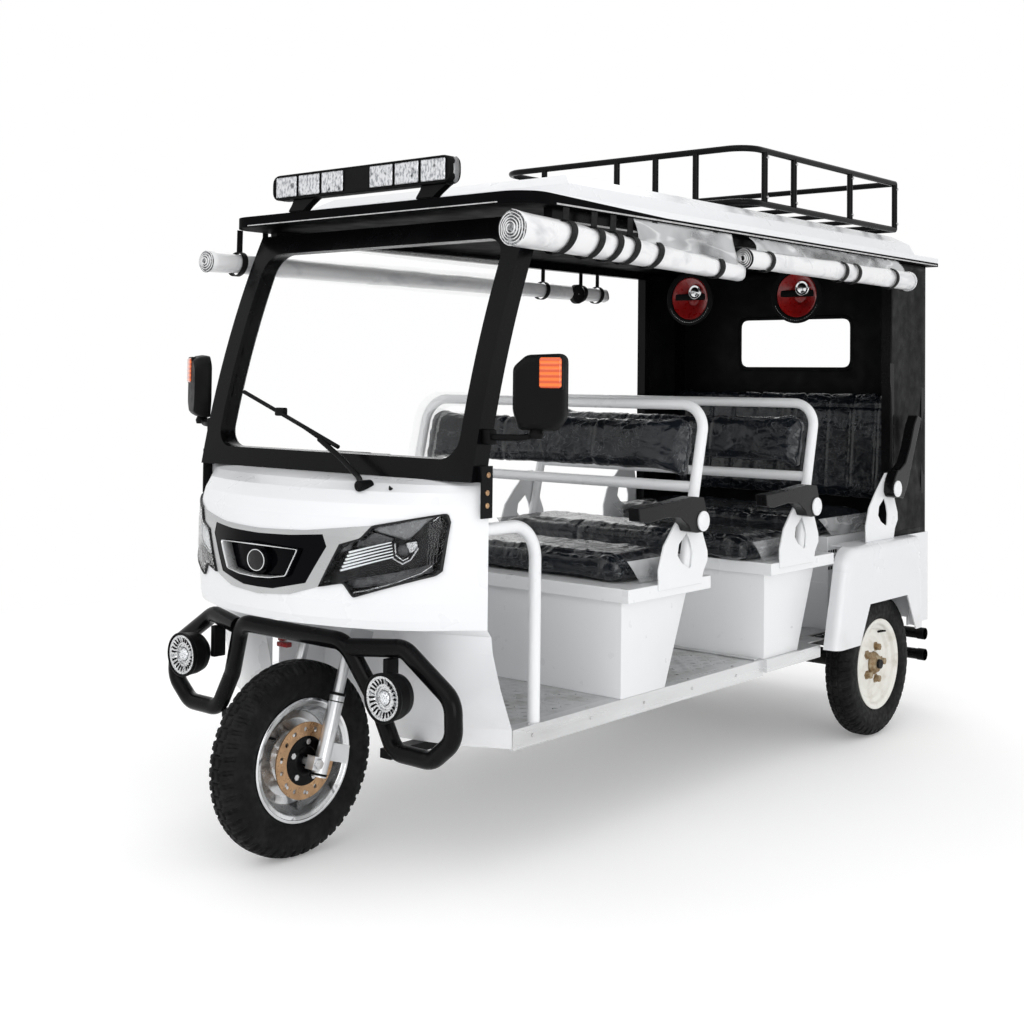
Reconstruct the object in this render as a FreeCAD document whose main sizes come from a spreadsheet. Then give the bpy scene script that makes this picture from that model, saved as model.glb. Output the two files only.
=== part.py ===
"""A three-row electric auto rickshaw, as a parametric FreeCAD document.

Millimetres, +Z up, the front towards -Y, the vehicle's left side towards +X.
The origin is on the ground, midway between the two sides and the two ends.
"""
import FreeCAD, Part
import math
import os
import Sketcher
from types import SimpleNamespace

from FreeCAD import Placement, Rotation, Vector

doc = FreeCAD.newDocument("AutoRickshaw")
sheet = doc.addObject("Spreadsheet::Sheet", "sizes")

# Driving dimensions in millimetres and degrees, one group for each assembly
SIZES = {
    # wheels and axles
    "wheelbase": 2330,
    "wheelbase_shift": 172.5,
    "rear_track_half_width": 568,
    "tyre_radius": 265,
    "tyre_width": 104,
    "tyre_shoulder_drop": 16,
    "tyre_shoulder_inset": 6,
    "tyre_tread_inset": 22,
    "bead_radius": 152,
    "bead_inset": 12,
    "flange_radius": 166,
    "flange_lip": 5,
    "seat_gap": 0.3,
    "barrel_wall": 6,
    "dish_wall": 5,
    "dish_depth": 22,
    "hub_radius": 42,
    "front_hub_half_width": 48,
    "rear_hub_half_width": 34,
    "pin_radius": 10,
    "pin_clearance": 0.05,
    "disc_radius": 104,
    "disc_thickness": 4,
    "disc_hole_radius": 6,
    # fork and steering
    "rake_angle": 17.5,
    "leg_offset": 90,
    "leg_lead": 25,
    "steering_lead": 60,
    "slider_radius": 21,
    "stanchion_radius": 15,
    "slider_top": 190,
    "leg_foot": 34,
    "lower_yoke_level": 345,
    "yoke_thickness": 30,
    "yoke_half_depth": 26,
    "head_gap": 5,
    "head_length": 140,
    "head_radius": 30,
    "stem_radius": 15,
    "stem_clearance": 0.05,
    "bar_level": 850,
    "bar_radius": 11,
    "bar_half_width": 330,
    "bar_rise": 18,
    "bar_sweep": 85,
    "grip_radius": 17,
    "grip_length": 125,
    "caliper_width": 42,
    "caliper_height": 48,
    "caliper_web": 8,
    "caliper_slot": 14,
    # chassis
    "floor_top": 388,
    "floor_plate": 4,
    "rail_height": 46,
    "rail_width": 40,
    "rail_offset": 330,
    "rail_wall": 3,
    "sill_half_width": 576,
    "sill_height": 54,
    "sill_width": 38,
    "sill_front_lead": 257,
    "sill_length": 1290,
    "rear_sill_step": 12,
    "rear_sill_out": 14,
    "wheel_well_half_width": 235,
    "wheel_well_lead": 330,
    "well_top": 620,
    "sheet_wall": 4,
    "axle_tube_radius": 32,
    "axle_half_length": 498,
    "drum_radius": 96,
    "drum_width": 34,
    "motor_radius": 70,
    "motor_length": 210,
    "gear_case_radius": 72,
    "gear_case_width": 150,
    "spring_clearance": 20,
    "spring_leaf": 9,
    "spring_width": 50,
    "bumper_pipe_radius": 22,
    "bumper_half_width": 535,
    "bumper_low": 205,
    "bumper_high": 290,
    "bumper_reach": 147.5,
    "bumper_stay_lead": 82.5,
    # front cowl
    "cowl_half_width": 572,
    "cowl_wall": 5,
    "cowl_bottom": 338,
    "cowl_lip": 662,
    "cowl_top": 1045,
    "nose_lead": 130,
    "lamp_proud": 7,
    "lamp_depth": 45,
    # windscreen
    "screen_half_width": 558,
    "screen_base_lead": 100,
    "screen_height": 715,
    "screen_lean": 228,
    "screen_bow": 24,
    "screen_frame_depth": 58,
    "screen_border": 62,
    "screen_sill": 55,
    "screen_header": 62,
    "glass_thickness": 6,
    "strap_width": 42,
    "strap_length": 135,
    "wiper_pivot_offset": 165,
    # roof
    "roof_half_width": 625,
    "roof_front": 1102.5,
    "roof_rear": 1491.5,
    "roof_under": 1782,
    "roof_rim_height": 33,
    "ceiling_plate": 6,
    "roof_corner": 95,
    "crown_height": 86,
    "crown_inset": 62,
    "crown_front_inset": 262,
    "crown_slope": 75,
    # posts at the rear
    "post_size": 36,
    "post_offset": 572,
    "cant_rail": 30,
    # roof rack
    "rack_half_width": 540,
    "rack_front": 152,
    "rack_rear": 1272,
    "rack_height": 182,
    "rack_low": 1918,
    "rack_tube": 11,
    "rack_bend": 80,
    # light bar
    "bar_lamp_half_width": 390,
    "bar_lamp_low": 1855,
    "bar_lamp_height": 75,
    "bar_lamp_depth": 52,
    "bar_lamp_front": 1118,
    "bar_foot_offset": 270,
    "bar_foot_width": 44,
    # seats
    "row_pitch": 714,
    "seat_box_front": 597,
    "seat_box_foot": 226,
    "seat_box_head": 343,
    "seat_box_top": 669,
    "seat_ledge": 40,
    "seat_ledge_over": 16,
    "seat_ledge_out": 36,
    "middle_box_shift": 812,
    "seat_box_wall": 4,
    "cushion_thickness": 84,
    "cushion_depth": 352,
    "cushion_front": 572,
    "cushion_half_width": 560,
    "cushion_rear_depth": 500,
    "rear_box_front": 862,
    "rear_box_clearance": 46,
    "rear_cushion_front": 765,
    "rear_cushion_level": 735,
    "back_tube": 17,
    "back_top": 1238,
    "back_top_lead": 183,
    "back_foot_lead": 300,
    "back_bend": 85,
    "back_rail": 985,
    "pad_high": 1214,
    "pad_thickness": 46,
    "rear_pad_high": 1300,
    "rear_pad_thickness": 80,
    # armrests
    "bracket_plate": 6,
    "bracket_reach": 175,
    "arm_pivot_lead": 296,
    "arm_pivot_level": 889,
    "arm_length": 336,
    "arm_width": 40,
    "arm_height": 52,
    "arm_boss": 34,
    "arm_pin": 8,
    "rear_arm_pivot": 1074.5,
    "rear_arm_raise_angle": 120,
    "rear_arm_level": 914,
    # grab hoops, mirrors
    "hoop_tube": 17,
    "hoop_offset": 553,
    "hoop_foot_lead": 369.5,
    "hoop_top": 920,
    "hoop_bend": 95,
    "mirror_inner": 598,
    "mirror_width": 146,
    "mirror_low": 1180,
    "mirror_high": 1380,
    "mirror_depth": 62,
    "mirror_lead": 200.5,
    "mirror_arm": 9,
    # bumper guard and fog lamps
    "guard_tube": 24,
    "guard_lead": 30,
    "guard_top": 634,
    "guard_bend": 62,
    "fog_offset": 415,
    "fog_level": 500,
    "fog_radius": 64,
    "fog_depth": 78,
    # rolled side curtains
    "roll_offset": 622,
    "roll_level": 1705,
    "roll_drop": 43,
    "roll_step": 18,
    "roll_front_radius": 54,
    "roll_rear_radius": 36,
    "roll_front": 1162.5,
    "roll_join": 38,
    "roll_rear": 1180,
    "roll_far_front": 1187,
    "roll_far_rear": 912,
    "roll_tab": 40,
    "speaker_radius": 84,
    "speaker_depth": 70,
    "speaker_offset": 270,
    # rear body
    "tub_half_width": 600,
    "tub_top": 722,
    "tub_bottom": 372,
    "tub_rear": 1455,
    "tub_wall": 5,
    "tub_flange": 58,
    "flare_half_width": 660,
    "flare_front_foot": 582,
    "flare_front_bend": 652,
    "flare_front_top": 745,
    "flare_round": 34,
    "flare_arch_front": 740,
    "flare_arch_rear": 1228,
    "flare_arch_top": 510,
    "flare_arch_lean": 88,
    "flare_rear": 1268,
    "flare_top": 640,
    "arch_front": 745,
    "arch_rear": 1215,
    "arch_top": 516,
    "arch_lean": 55,
    "canvas_wall": 4,
    "canvas_front": 1132,
    "window_half_width": 260,
    "window_low": 1376,
    "window_high": 1580,
    "overrun": 20,
}


class Size:
    """A length that keeps both its value and the spreadsheet expression that gives it."""

    def __init__(self, text, value):
        self.text = text
        self.value = value

    def __float__(self):
        return float(self.value)

    def __neg__(self):
        return Size("-(" + self.text + ")", -self.value)

    def __add__(self, other):
        other = as_size(other)
        return Size("(" + self.text + " + " + other.text + ")", self.value + other.value)

    def __sub__(self, other):
        other = as_size(other)
        return Size("(" + self.text + " - " + other.text + ")", self.value - other.value)

    def __mul__(self, share):
        return Size("(" + self.text + " * " + str(share) + ")", self.value * share)

    def __truediv__(self, share):
        return Size("(" + self.text + " / " + str(share) + ")", self.value / share)

    __radd__ = __add__
    __rmul__ = __mul__


def as_size(thing):
    """Zero or a plain share as a size of its own."""
    return thing if isinstance(thing, Size) else Size(str(thing), thing)


def fill_sheet():
    """Write the driving dimensions to the sheet, and give them back as named sizes."""
    named = {}
    for row, (alias, value) in enumerate(SIZES.items(), start=1):
        sheet.set("A%d" % row, alias)
        sheet.set("B%d" % row, str(value))
        sheet.setAlias("B%d" % row, alias)
        named[alias] = Size("sizes." + alias, value)
    doc.recompute()
    return SimpleNamespace(**named)


z = fill_sheet()
ZERO = as_size(0)
FRONT_AXLE = -z.wheelbase / 2 - z.wheelbase_shift
REAR_AXLE = z.wheelbase / 2 - z.wheelbase_shift
SPRING_HALF = z.tub_rear - z.bumper_stay_lead - z.spring_clearance - REAR_AXLE
BACK_HALF = z.sill_half_width + z.seat_ledge_out - z.back_tube
REAR_BOX_HALF = z.rear_track_half_width - z.tyre_width / 2 - z.rear_box_clearance
RACK_TOP = z.rack_low + z.rack_height
AXES = {"x": Vector(1, 0, 0), "y": Vector(0, 1, 0), "z": Vector(0, 0, 1)}
ROD_TURN = {
    "x": Rotation(Vector(0, 1, 0), 90),
    "y": Rotation(Vector(1, 0, 0), -90),
    "z": Rotation(),
}


def bind(thing, prop, size):
    """Tie one property to the sheet."""
    thing.setExpression(prop, as_size(size).text)


def place(thing, x=0, y=0, level=0):
    """Tie where an object stands to the sheet."""
    for letter, size in (("x", x), ("y", y), ("z", level)):
        if isinstance(size, Size):
            bind(thing, "Placement.Base." + letter, size)
    return thing


def point(x, y, level):
    return Vector(float(x), float(y), float(level))


def label(thing, name):
    """Name a finished sub-part."""
    thing.Label = name
    PARTS.append(thing)
    return thing


PARTS = []


def block(name, low, high):
    """A block between two opposite corners."""
    thing = doc.addObject("Part::Box", name)
    for prop, start, end in zip(("Length", "Width", "Height"), low, high):
        bind(thing, prop, as_size(end) - start)
    return place(thing, *low)


def rod(name, middle, radius, length, axis):
    """A cylinder about its middle, along one axis."""
    thing = doc.addObject("Part::Cylinder", name)
    bind(thing, "Radius", radius)
    bind(thing, "Height", length)
    thing.Placement = Placement(Vector(), ROD_TURN[axis])
    start = dict(zip("xyz", middle))
    start[axis] = as_size(start[axis]) - as_size(length) / 2
    return place(thing, start["x"], start["y"], start["z"])


def fuse(name, *things):
    thing = doc.addObject("Part::MultiFuse", name)
    thing.Shapes = list(things)
    return thing


def cut(name, base, tool):
    thing = doc.addObject("Part::Cut", name)
    thing.Base = base
    thing.Tool = tool
    return thing


def common(name, *things):
    thing = doc.addObject("Part::MultiCommon", name)
    thing.Shapes = list(things)
    return thing


def gather(name, *things):
    """Separate solids that share one sub-part."""
    thing = doc.addObject("Part::Compound", name)
    thing.Links = list(things)
    return thing


def mirrored(name, source):
    """The same piece on the other side of the vehicle."""
    thing = doc.addObject("Part::Mirroring", name)
    thing.Source = source
    thing.Normal = AXES["x"]
    return thing


def pair(name, source):
    return gather(name, source, mirrored(name + "_far", source))


def plain(name, shape):
    """A shape that Part's own functions made from the sheet's sizes."""
    thing = doc.addObject("Part::Feature", name)
    thing.Shape = shape
    return thing


# Sketched bodies

def start_body(name):
    return doc.addObject("PartDesign::Body", name)


def sketch_on(body, role, offset=0):
    """A sketch on one of the body's own origin planes, moved along the plane's normal."""
    sketch = body.newObject("Sketcher::SketchObject", body.Name + "_sketch")
    planes = [item for item in body.Origin.OriginFeatures if item.Role == role]
    sketch.AttachmentSupport = [(planes[0], "")]
    sketch.MapMode = "FlatFace"
    if isinstance(offset, Size):
        bind(sketch, "AttachmentOffset.Base.z", offset)
    return sketch


def tie_point(sketch, edge, end, x, y):
    """Hold one end of an edge at a place that the sheet gives."""
    for kind, size in (("DistanceX", as_size(x)), ("DistanceY", as_size(y))):
        number = sketch.addConstraint(Sketcher.Constraint(kind, -1, 1, edge, end, size.value))
        sketch.setExpression("Constraints[%d]" % number, size.text)


def outline(sketch, corners):
    """A closed outline. A corner is (x, y), or (x, y, via x, via y) where an arc leaves it."""
    spots = [Vector(float(c[0]), float(c[1]), 0) for c in corners]
    ends = []
    for index, corner in enumerate(corners):
        start = spots[index]
        stop = spots[(index + 1) % len(spots)]
        if len(corner) == 4:
            via = Vector(float(corner[2]), float(corner[3]), 0)
            edge = sketch.addGeometry(Part.Arc(start, via, stop), False)
            to_first, to_second = [sketch.getPoint(edge, end).distanceToPoint(start) for end in (1, 2)]
            forward = to_first < to_second
            ends.append((edge, 1, 2) if forward else (edge, 2, 1))
        else:
            edge = sketch.addGeometry(Part.LineSegment(start, stop), False)
            ends.append((edge, 1, 2))
    for index, (edge, first, last) in enumerate(ends):
        following = ends[(index + 1) % len(ends)]
        sketch.addConstraint(Sketcher.Constraint("Coincident", edge, last, following[0], following[1]))
        tie_point(sketch, edge, first, corners[index][0], corners[index][1])
    for (edge, first, last), corner in zip(ends, corners):
        if len(corner) == 4:
            via = sketch.addGeometry(Part.Point(Vector(float(corner[2]), float(corner[3]), 0)), True)
            sketch.addConstraint(Sketcher.Constraint("PointOnObject", via, 1, edge))
            tie_point(sketch, via, 1, corner[2], corner[3])


def pad(body, role, corners, low, high):
    """Extrude an outline between two stations along the plane's normal."""
    toward = -1 if role == "XZ_Plane" else 1
    start = as_size(low) if toward == 1 else -as_size(high)
    sketch = sketch_on(body, role, start)
    outline(sketch, corners)
    thing = body.newObject("PartDesign::Pad", body.Name + "_pad")
    thing.Profile = sketch
    bind(thing, "Length", as_size(high) - low)
    return thing


def pocket(body, role, corners, low, high):
    """Cut an outline out of the body between two stations along the plane's normal."""
    toward = -1 if role == "XZ_Plane" else 1
    start = as_size(low) if toward == 1 else -as_size(high)
    sketch = sketch_on(body, role, start)
    outline(sketch, corners)
    thing = body.newObject("PartDesign::Pocket", body.Name + "_pocket")
    thing.Profile = sketch
    thing.Reversed = True
    bind(thing, "Length", as_size(high) - low)
    return thing


def turned(body, corners):
    """Revolve an outline of (along the axis, radius) corners about the X axis."""
    sketch = sketch_on(body, "XY_Plane")
    outline(sketch, corners)
    thing = body.newObject("PartDesign::Revolution", body.Name + "_turn")
    thing.Profile = sketch
    thing.ReferenceAxis = (sketch, ["H_Axis"])
    thing.Angle = 360
    return thing


def rounded(body, radius, wanted):
    """Round the edges of the body's tip that a test picks."""
    doc.recompute()
    tip = body.Tip
    names = ["Edge%d" % (n + 1) for n, edge in enumerate(tip.Shape.Edges) if wanted(edge)]
    thing = body.newObject("PartDesign::Fillet", body.Name + "_fillet")
    thing.Base = (tip, names)
    bind(thing, "Radius", radius)
    return thing


def along(axis, edge):
    """True for a straight edge that runs along the axis."""
    if len(edge.Vertexes) < 2 or edge.Curve.TypeId != "Part::GeomLine":
        return False
    way = edge.Vertexes[1].Point.sub(edge.Vertexes[0].Point)
    return way.Length > 0 and abs(way.normalize().dot(axis)) > 0.999


# Bent tubes

def arc_route(spots, bend):
    """Straight runs through the spots, joined by tangent arcs of the bend radius where they fit."""
    edges = []
    here = spots[0]
    for before, corner, after in zip(spots, spots[1:], spots[2:]):
        back = before.sub(corner)
        ahead = after.sub(corner)
        half_turn = (math.pi - back.getAngle(ahead)) / 2
        room = 0.48 * min(back.Length, ahead.Length)
        reach = min(bend * math.tan(half_turn), room)
        start = corner.add(back.normalize().multiply(reach))
        stop = corner.add(ahead.normalize().multiply(reach))
        inward = back.add(ahead).normalize()
        radius = reach / math.tan(half_turn)
        middle = corner.add(inward.multiply(radius / math.cos(half_turn) - radius))
        edges.append(Part.LineSegment(here, start).toShape())
        edges.append(Part.Arc(start, middle, stop).toShape())
        here = stop
    edges.append(Part.LineSegment(here, spots[-1]).toShape())
    return Part.Wire(edges)


def bent_tube(name, spots, radius, bend):
    """A round tube along a route of corners, each a triple of sizes."""
    spots = [point(*spot) for spot in spots]
    route = arc_route(spots, float(bend))
    ring = Part.Wire([Part.Circle(spots[0], spots[1].sub(spots[0]), float(radius)).toShape()])
    return plain(name, route.makePipeShell([ring], True, False))


def across(spots):
    """The same corners mirrored and reversed, so that a route runs on to the far side."""
    return [(-as_size(x), y, level) for x, y, level in reversed(spots)]


# Wheels

def tyre(name, x, y):
    """A tyre with a flat tread, sloped shoulders and full side walls, seated on the rim's barrel."""
    body = start_body(name)
    half = z.tyre_width / 2
    seat = half - z.bead_inset
    shoulder = half - z.tyre_shoulder_inset
    tread = half - z.tyre_tread_inset
    shoulder_radius = z.tyre_radius - z.tyre_shoulder_drop
    side_radius = (z.tyre_radius + z.flange_radius) / 2
    turned(body, [
        (-seat, z.bead_radius),
        (-seat, z.flange_radius),
        (-shoulder, z.flange_radius + z.flange_lip),
        (-half, side_radius),
        (-shoulder, shoulder_radius),
        (-tread, z.tyre_radius),
        (tread, z.tyre_radius),
        (shoulder, shoulder_radius),
        (half, side_radius),
        (shoulder, z.flange_radius + z.flange_lip),
        (seat, z.flange_radius),
        (seat, z.bead_radius),
    ])
    place(body, x, y, z.tyre_radius)
    return label(body, name)


def rim(name, x, y, hub_half, outward):
    """A drop-in barrel with flanges, a dished plate and a bored hub."""
    body = start_body(name)
    seat = z.tyre_width / 2 - z.bead_inset
    inner = seat + z.seat_gap
    lip = inner + z.flange_lip
    barrel = z.bead_radius - z.seat_gap
    bore = z.pin_radius + z.pin_clearance
    hollow = barrel - z.barrel_wall
    dish = z.dish_depth * outward
    turned(body, [
        (-lip, z.flange_radius),
        (-inner, z.flange_radius),
        (-inner, barrel),
        (inner, barrel),
        (inner, z.flange_radius),
        (lip, z.flange_radius),
        (lip, hollow),
        (dish + z.dish_wall, hollow),
        (z.dish_wall, z.hub_radius),
        (hub_half, z.hub_radius),
        (hub_half, bore),
        (-hub_half, bore),
        (-hub_half, z.hub_radius),
        (ZERO, z.hub_radius),
        (dish, hollow),
        (-lip, hollow),
    ])
    place(body, x, y, z.tyre_radius)
    return label(body, name)


def brake_disc():
    """The drilled front brake disc on the left face of the hub."""
    body = start_body("brake_disc")
    face = z.front_hub_half_width
    turned(body, [
        (face, z.pin_radius * 1.6),
        (face + z.disc_thickness, z.pin_radius * 1.6),
        (face + z.disc_thickness, z.disc_radius),
        (face, z.disc_radius),
    ])
    doc.recompute()
    sketch = sketch_on(body, "YZ_Plane", face - z.disc_thickness)
    circle = sketch.addGeometry(Part.Circle(point(0, z.disc_radius * 0.82, 0), Vector(0, 0, 1),
                                            float(z.disc_hole_radius)), False)
    tie_point(sketch, circle, 3, ZERO, z.disc_radius * 0.82)
    number = sketch.addConstraint(Sketcher.Constraint("Radius", circle, float(z.disc_hole_radius)))
    bind(sketch, "Constraints[%d]" % number, z.disc_hole_radius)
    hole = body.newObject("PartDesign::Pocket", "disc_hole")
    hole.Profile = sketch
    hole.Reversed = True
    bind(hole, "Length", z.disc_thickness * 3)
    doc.recompute()
    ring = body.newObject("PartDesign::PolarPattern", "disc_holes")
    ring.Originals = [hole]
    axis = [item for item in body.Origin.OriginFeatures if item.Role == "X_Axis"]
    ring.Axis = (axis[0], [""])
    ring.Angle = 360
    ring.Occurrences = 14
    body.Tip = ring
    place(body, ZERO, FRONT_AXLE, z.tyre_radius)
    return label(body, "brake_disc")


# Steering, built upright about the axle, with its own y square to the steering axis

def lean_back(thing):
    """Turn an upright steering piece back by the rake, about the front axle."""
    thing.Placement = Placement(Vector(), Rotation(Vector(-1, 0, 0), float(z.rake_angle)))
    bind(thing, "Placement.Rotation.Angle", z.rake_angle)
    return place(thing, ZERO, FRONT_AXLE, z.tyre_radius)


def front_fork():
    """Telescopic legs, their yokes, the stem, the axle pin and the brake caliper."""
    leg_y = z.leg_lead
    leg_top = z.lower_yoke_level
    slider = rod("slider", (z.leg_offset, leg_y, (z.slider_top - z.leg_foot) / 2), z.slider_radius,
                 z.slider_top + z.leg_foot, "z")
    stanchion = rod("stanchion", (z.leg_offset, leg_y, (leg_top + z.slider_top) / 2), z.stanchion_radius,
                    leg_top - z.slider_top + z.overrun, "z")
    foot = block("leg_foot_lug", (z.leg_offset - z.stanchion_radius, -z.pin_radius * 1.8, -z.pin_radius * 1.8),
                 (z.leg_offset + z.stanchion_radius, leg_y, z.pin_radius * 1.8))
    left = fuse("leg_left", slider, stanchion, foot)
    right = mirrored("leg_right", left)
    pin = rod("front_axle_pin", (0, 0, 0), z.pin_radius, z.leg_offset * 2, "x")
    lower = block("lower_yoke", (-z.leg_offset - z.slider_radius, leg_y - z.yoke_half_depth, leg_top),
                  (z.leg_offset + z.slider_radius, z.steering_lead + z.yoke_half_depth,
                   leg_top + z.yoke_thickness))
    stem_top = z.bar_level
    stem = rod("stem", (0, z.steering_lead, (leg_top + stem_top) / 2), z.stem_radius, stem_top - leg_top, "z")
    collar_low = leg_top + z.yoke_thickness + z.head_gap * 2 + z.head_length
    collar = rod("stem_collar", (0, z.steering_lead, collar_low + z.yoke_thickness / 2), z.head_radius,
                 z.yoke_thickness, "z")
    caliper = caliper_block(leg_y)
    fork = fuse("front_fork_solid", left, right, pin, lower, stem, collar, caliper)
    return label(lean_back(fork), "front_fork")


def caliper_block(leg_y):
    """The caliper behind the left leg, slotted for the disc."""
    face = z.front_hub_half_width + z.disc_thickness / 2
    rear = leg_y + z.slider_radius
    web = z.disc_radius + z.caliper_slot / 2 - z.disc_thickness / 2
    middle = z.disc_radius * 0.35
    half = z.caliper_height / 2
    shape = block("caliper_shape", (face - z.caliper_width / 2, rear, middle - half),
                  (z.leg_offset, web + z.caliper_web, middle + half))
    arm = block("caliper_arm", (z.leg_offset - z.slider_radius / 2, leg_y, middle - half / 2),
                (z.leg_offset, rear + z.caliper_web, middle + half / 2))
    slot = block("caliper_cut", (face - z.caliper_slot / 2, rear - z.overrun, middle - half * 2),
                 (face + z.caliper_slot / 2, web, middle + half * 2))
    return cut("caliper", fuse("caliper_whole", shape, arm), slot)


def handlebar():
    """A swept bar in the clamp at the top of the stem, with a grip at each end."""
    level = z.bar_level + z.bar_radius + z.seat_gap
    tip = z.steering_lead + z.bar_sweep
    half = [
        (z.bar_half_width, tip, level + z.bar_rise),
        (z.bar_half_width * 0.58, tip - z.bar_sweep * 0.25, level + z.bar_rise),
        (z.bar_half_width * 0.3, z.steering_lead, level),
    ]
    tube = bent_tube("bar_tube", half + across(half), z.bar_radius, z.bar_radius * 4)
    clamp = rod("bar_clamp", (0, z.steering_lead, level), z.bar_radius * 2, z.bar_half_width * 0.24, "x")
    clamp_cut = rod("bar_clamp_foot", (0, z.steering_lead, z.bar_level - z.bar_radius), z.stem_radius * 1.3,
                    z.bar_radius * 2, "z")
    grips = pair("grips", grip(half))
    bar = fuse("handlebar_solid", tube, cut("bar_clamp_seated", clamp, clamp_cut), grips)
    return label(lean_back(bar), "handlebar")


def grip(half):
    """A thicker sleeve over the bar's last straight run."""
    tip = point(*half[0])
    way = point(*half[1]).sub(tip).normalize()
    return plain("grip_left", Part.makeCylinder(float(z.grip_radius), float(z.grip_length), tip, way))


# Chassis

def chassis_frame():
    """Two long box rails, the cross members between them, and the outriggers that reach the sills."""
    top = z.floor_top - z.floor_plate
    low = top - z.rail_height
    front = FRONT_AXLE + z.wheel_well_lead + z.sheet_wall
    rear = z.tub_rear - z.tub_wall * 2
    rail = block("rail", (z.rail_offset - z.rail_width / 2, front, low),
                 (z.rail_offset + z.rail_width / 2, rear, top))
    hollow = block("rail_hollow", (z.rail_offset - z.rail_width / 2 + z.rail_wall, front - z.overrun,
                                   low + z.rail_wall),
                   (z.rail_offset + z.rail_width / 2 - z.rail_wall, rear + z.overrun, top - z.rail_wall))
    left = cut("rail_left", rail, hollow)
    right = mirrored("rail_right", left)
    inner = z.rail_offset - z.rail_width / 2
    outer = z.sill_half_width - z.sill_width
    gap = (rear - front - z.rail_width) / 5
    members = []
    for step in range(6):
        start = front + gap * step
        reach = outer if step in (0, 1, 2, 3) else inner
        members.append(block("member_%d" % step, (-inner, start, low + z.rail_wall),
                             (inner, start + z.rail_width, top - z.rail_wall)))
        if reach is outer:
            spur = block("outrigger_%d" % step, (z.rail_offset + z.rail_width / 2, start, low + z.rail_wall),
                         (outer, start + z.rail_width, top - z.rail_wall))
            members += [spur, mirrored("outrigger_far_%d" % step, spur)]
    return label(fuse("chassis_frame", left, right, *members), "chassis_frame")


def steering_head():
    """The head tube around the stem, with the two struts that carry it down to the rails."""
    low = z.lower_yoke_level + z.yoke_thickness + z.head_gap
    middle = low + z.head_length / 2
    tube = rod("head_tube", (0, z.steering_lead, middle), z.head_radius, z.head_length, "z")
    bore = rod("head_bore", (0, z.steering_lead, middle), z.stem_radius + z.stem_clearance,
               z.head_length + z.overrun, "z")
    ring = cut("head_ring", tube, bore)
    lean_back(ring)
    rake = math.radians(float(z.rake_angle))
    along_axis = Vector(0, math.sin(rake), math.cos(rake))
    square = Vector(0, math.cos(rake), -math.sin(rake))
    axle = point(0, FRONT_AXLE, z.tyre_radius)
    head = axle + square.multiply(float(z.steering_lead)) + along_axis.multiply(float(middle))
    start = head + Vector(float(z.head_radius) * 0.75, float(z.head_radius) * 0.55, 0)
    foot_y = FRONT_AXLE + z.wheel_well_lead + z.sheet_wall + z.rail_width / 2
    knee = (z.rail_offset * 0.8, foot_y, z.well_top + z.rail_width * 1.2)
    ankle = (z.rail_offset, foot_y, z.floor_top + z.rail_width * 1.5)
    foot = (z.rail_offset, foot_y, z.floor_top)
    spots = [(start.x, start.y, start.z), knee, ankle, foot]
    strut = bent_tube("head_strut", spots, z.rail_width * 0.45, z.rail_width * 1.5)
    strut_far = mirrored("head_strut_far", strut)
    whole = fuse("head_whole", ring, strut, strut_far)
    stem_way = rod("head_clear", (0, z.steering_lead, middle), z.stem_radius + z.stem_clearance,
                   z.head_length + z.overrun * 4, "z")
    lean_back(stem_way)
    return label(cut("steering_head", whole, stem_way), "steering_head")


def floor_deck():
    """The floor plate, notched for the front wheel and narrowed between the rear wheels."""
    body = start_body("floor_deck")
    side = z.sill_half_width - z.sill_width
    front = FRONT_AXLE + z.sill_front_lead
    notch = z.wheel_well_half_width + z.sheet_wall
    well = FRONT_AXLE + z.wheel_well_lead
    narrow = REAR_AXLE - z.tyre_radius - z.overrun
    rear = z.tub_rear - z.tub_wall
    pad(body, "XY_Plane", [
        (-side, front), (-notch, front), (-notch, well), (notch, well), (notch, front), (side, front),
        (side, narrow), (REAR_BOX_HALF, narrow), (REAR_BOX_HALF, rear),
        (-REAR_BOX_HALF, rear), (-REAR_BOX_HALF, narrow), (-side, narrow),
    ], z.floor_top - z.floor_plate, z.floor_top)
    return label(body, "floor_deck")


def side_sills():
    """The bright sill along each side, with its stepped rear section."""
    front = FRONT_AXLE + z.sill_front_lead
    step = front + z.sill_length
    inner = z.sill_half_width - z.sill_width
    low = z.floor_top - z.sill_height
    first = block("sill_front", (inner, front, low), (z.sill_half_width, step, z.floor_top))
    second = block("sill_rear", (inner, step, low + z.rear_sill_step),
                   (z.sill_half_width + z.rear_sill_out, z.flare_front_foot, z.floor_top))
    return label(pair("side_sills", fuse("sill", first, second)), "side_sills")


def wheel_well():
    """The bulkhead behind the front wheel and its two side sheets."""
    back = FRONT_AXLE + z.wheel_well_lead
    low = z.cowl_bottom
    front = FRONT_AXLE + z.sill_front_lead - z.wheel_well_half_width * 0.46
    wall = block("well_back", (-z.wheel_well_half_width, back - z.sheet_wall, low),
                 (z.wheel_well_half_width, back, z.well_top))
    side = block("well_side", (z.wheel_well_half_width, front, low),
                 (z.wheel_well_half_width + z.sheet_wall, back, z.well_top))
    return label(fuse("wheel_well", wall, side, mirrored("well_side_far", side)), "wheel_well")


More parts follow.
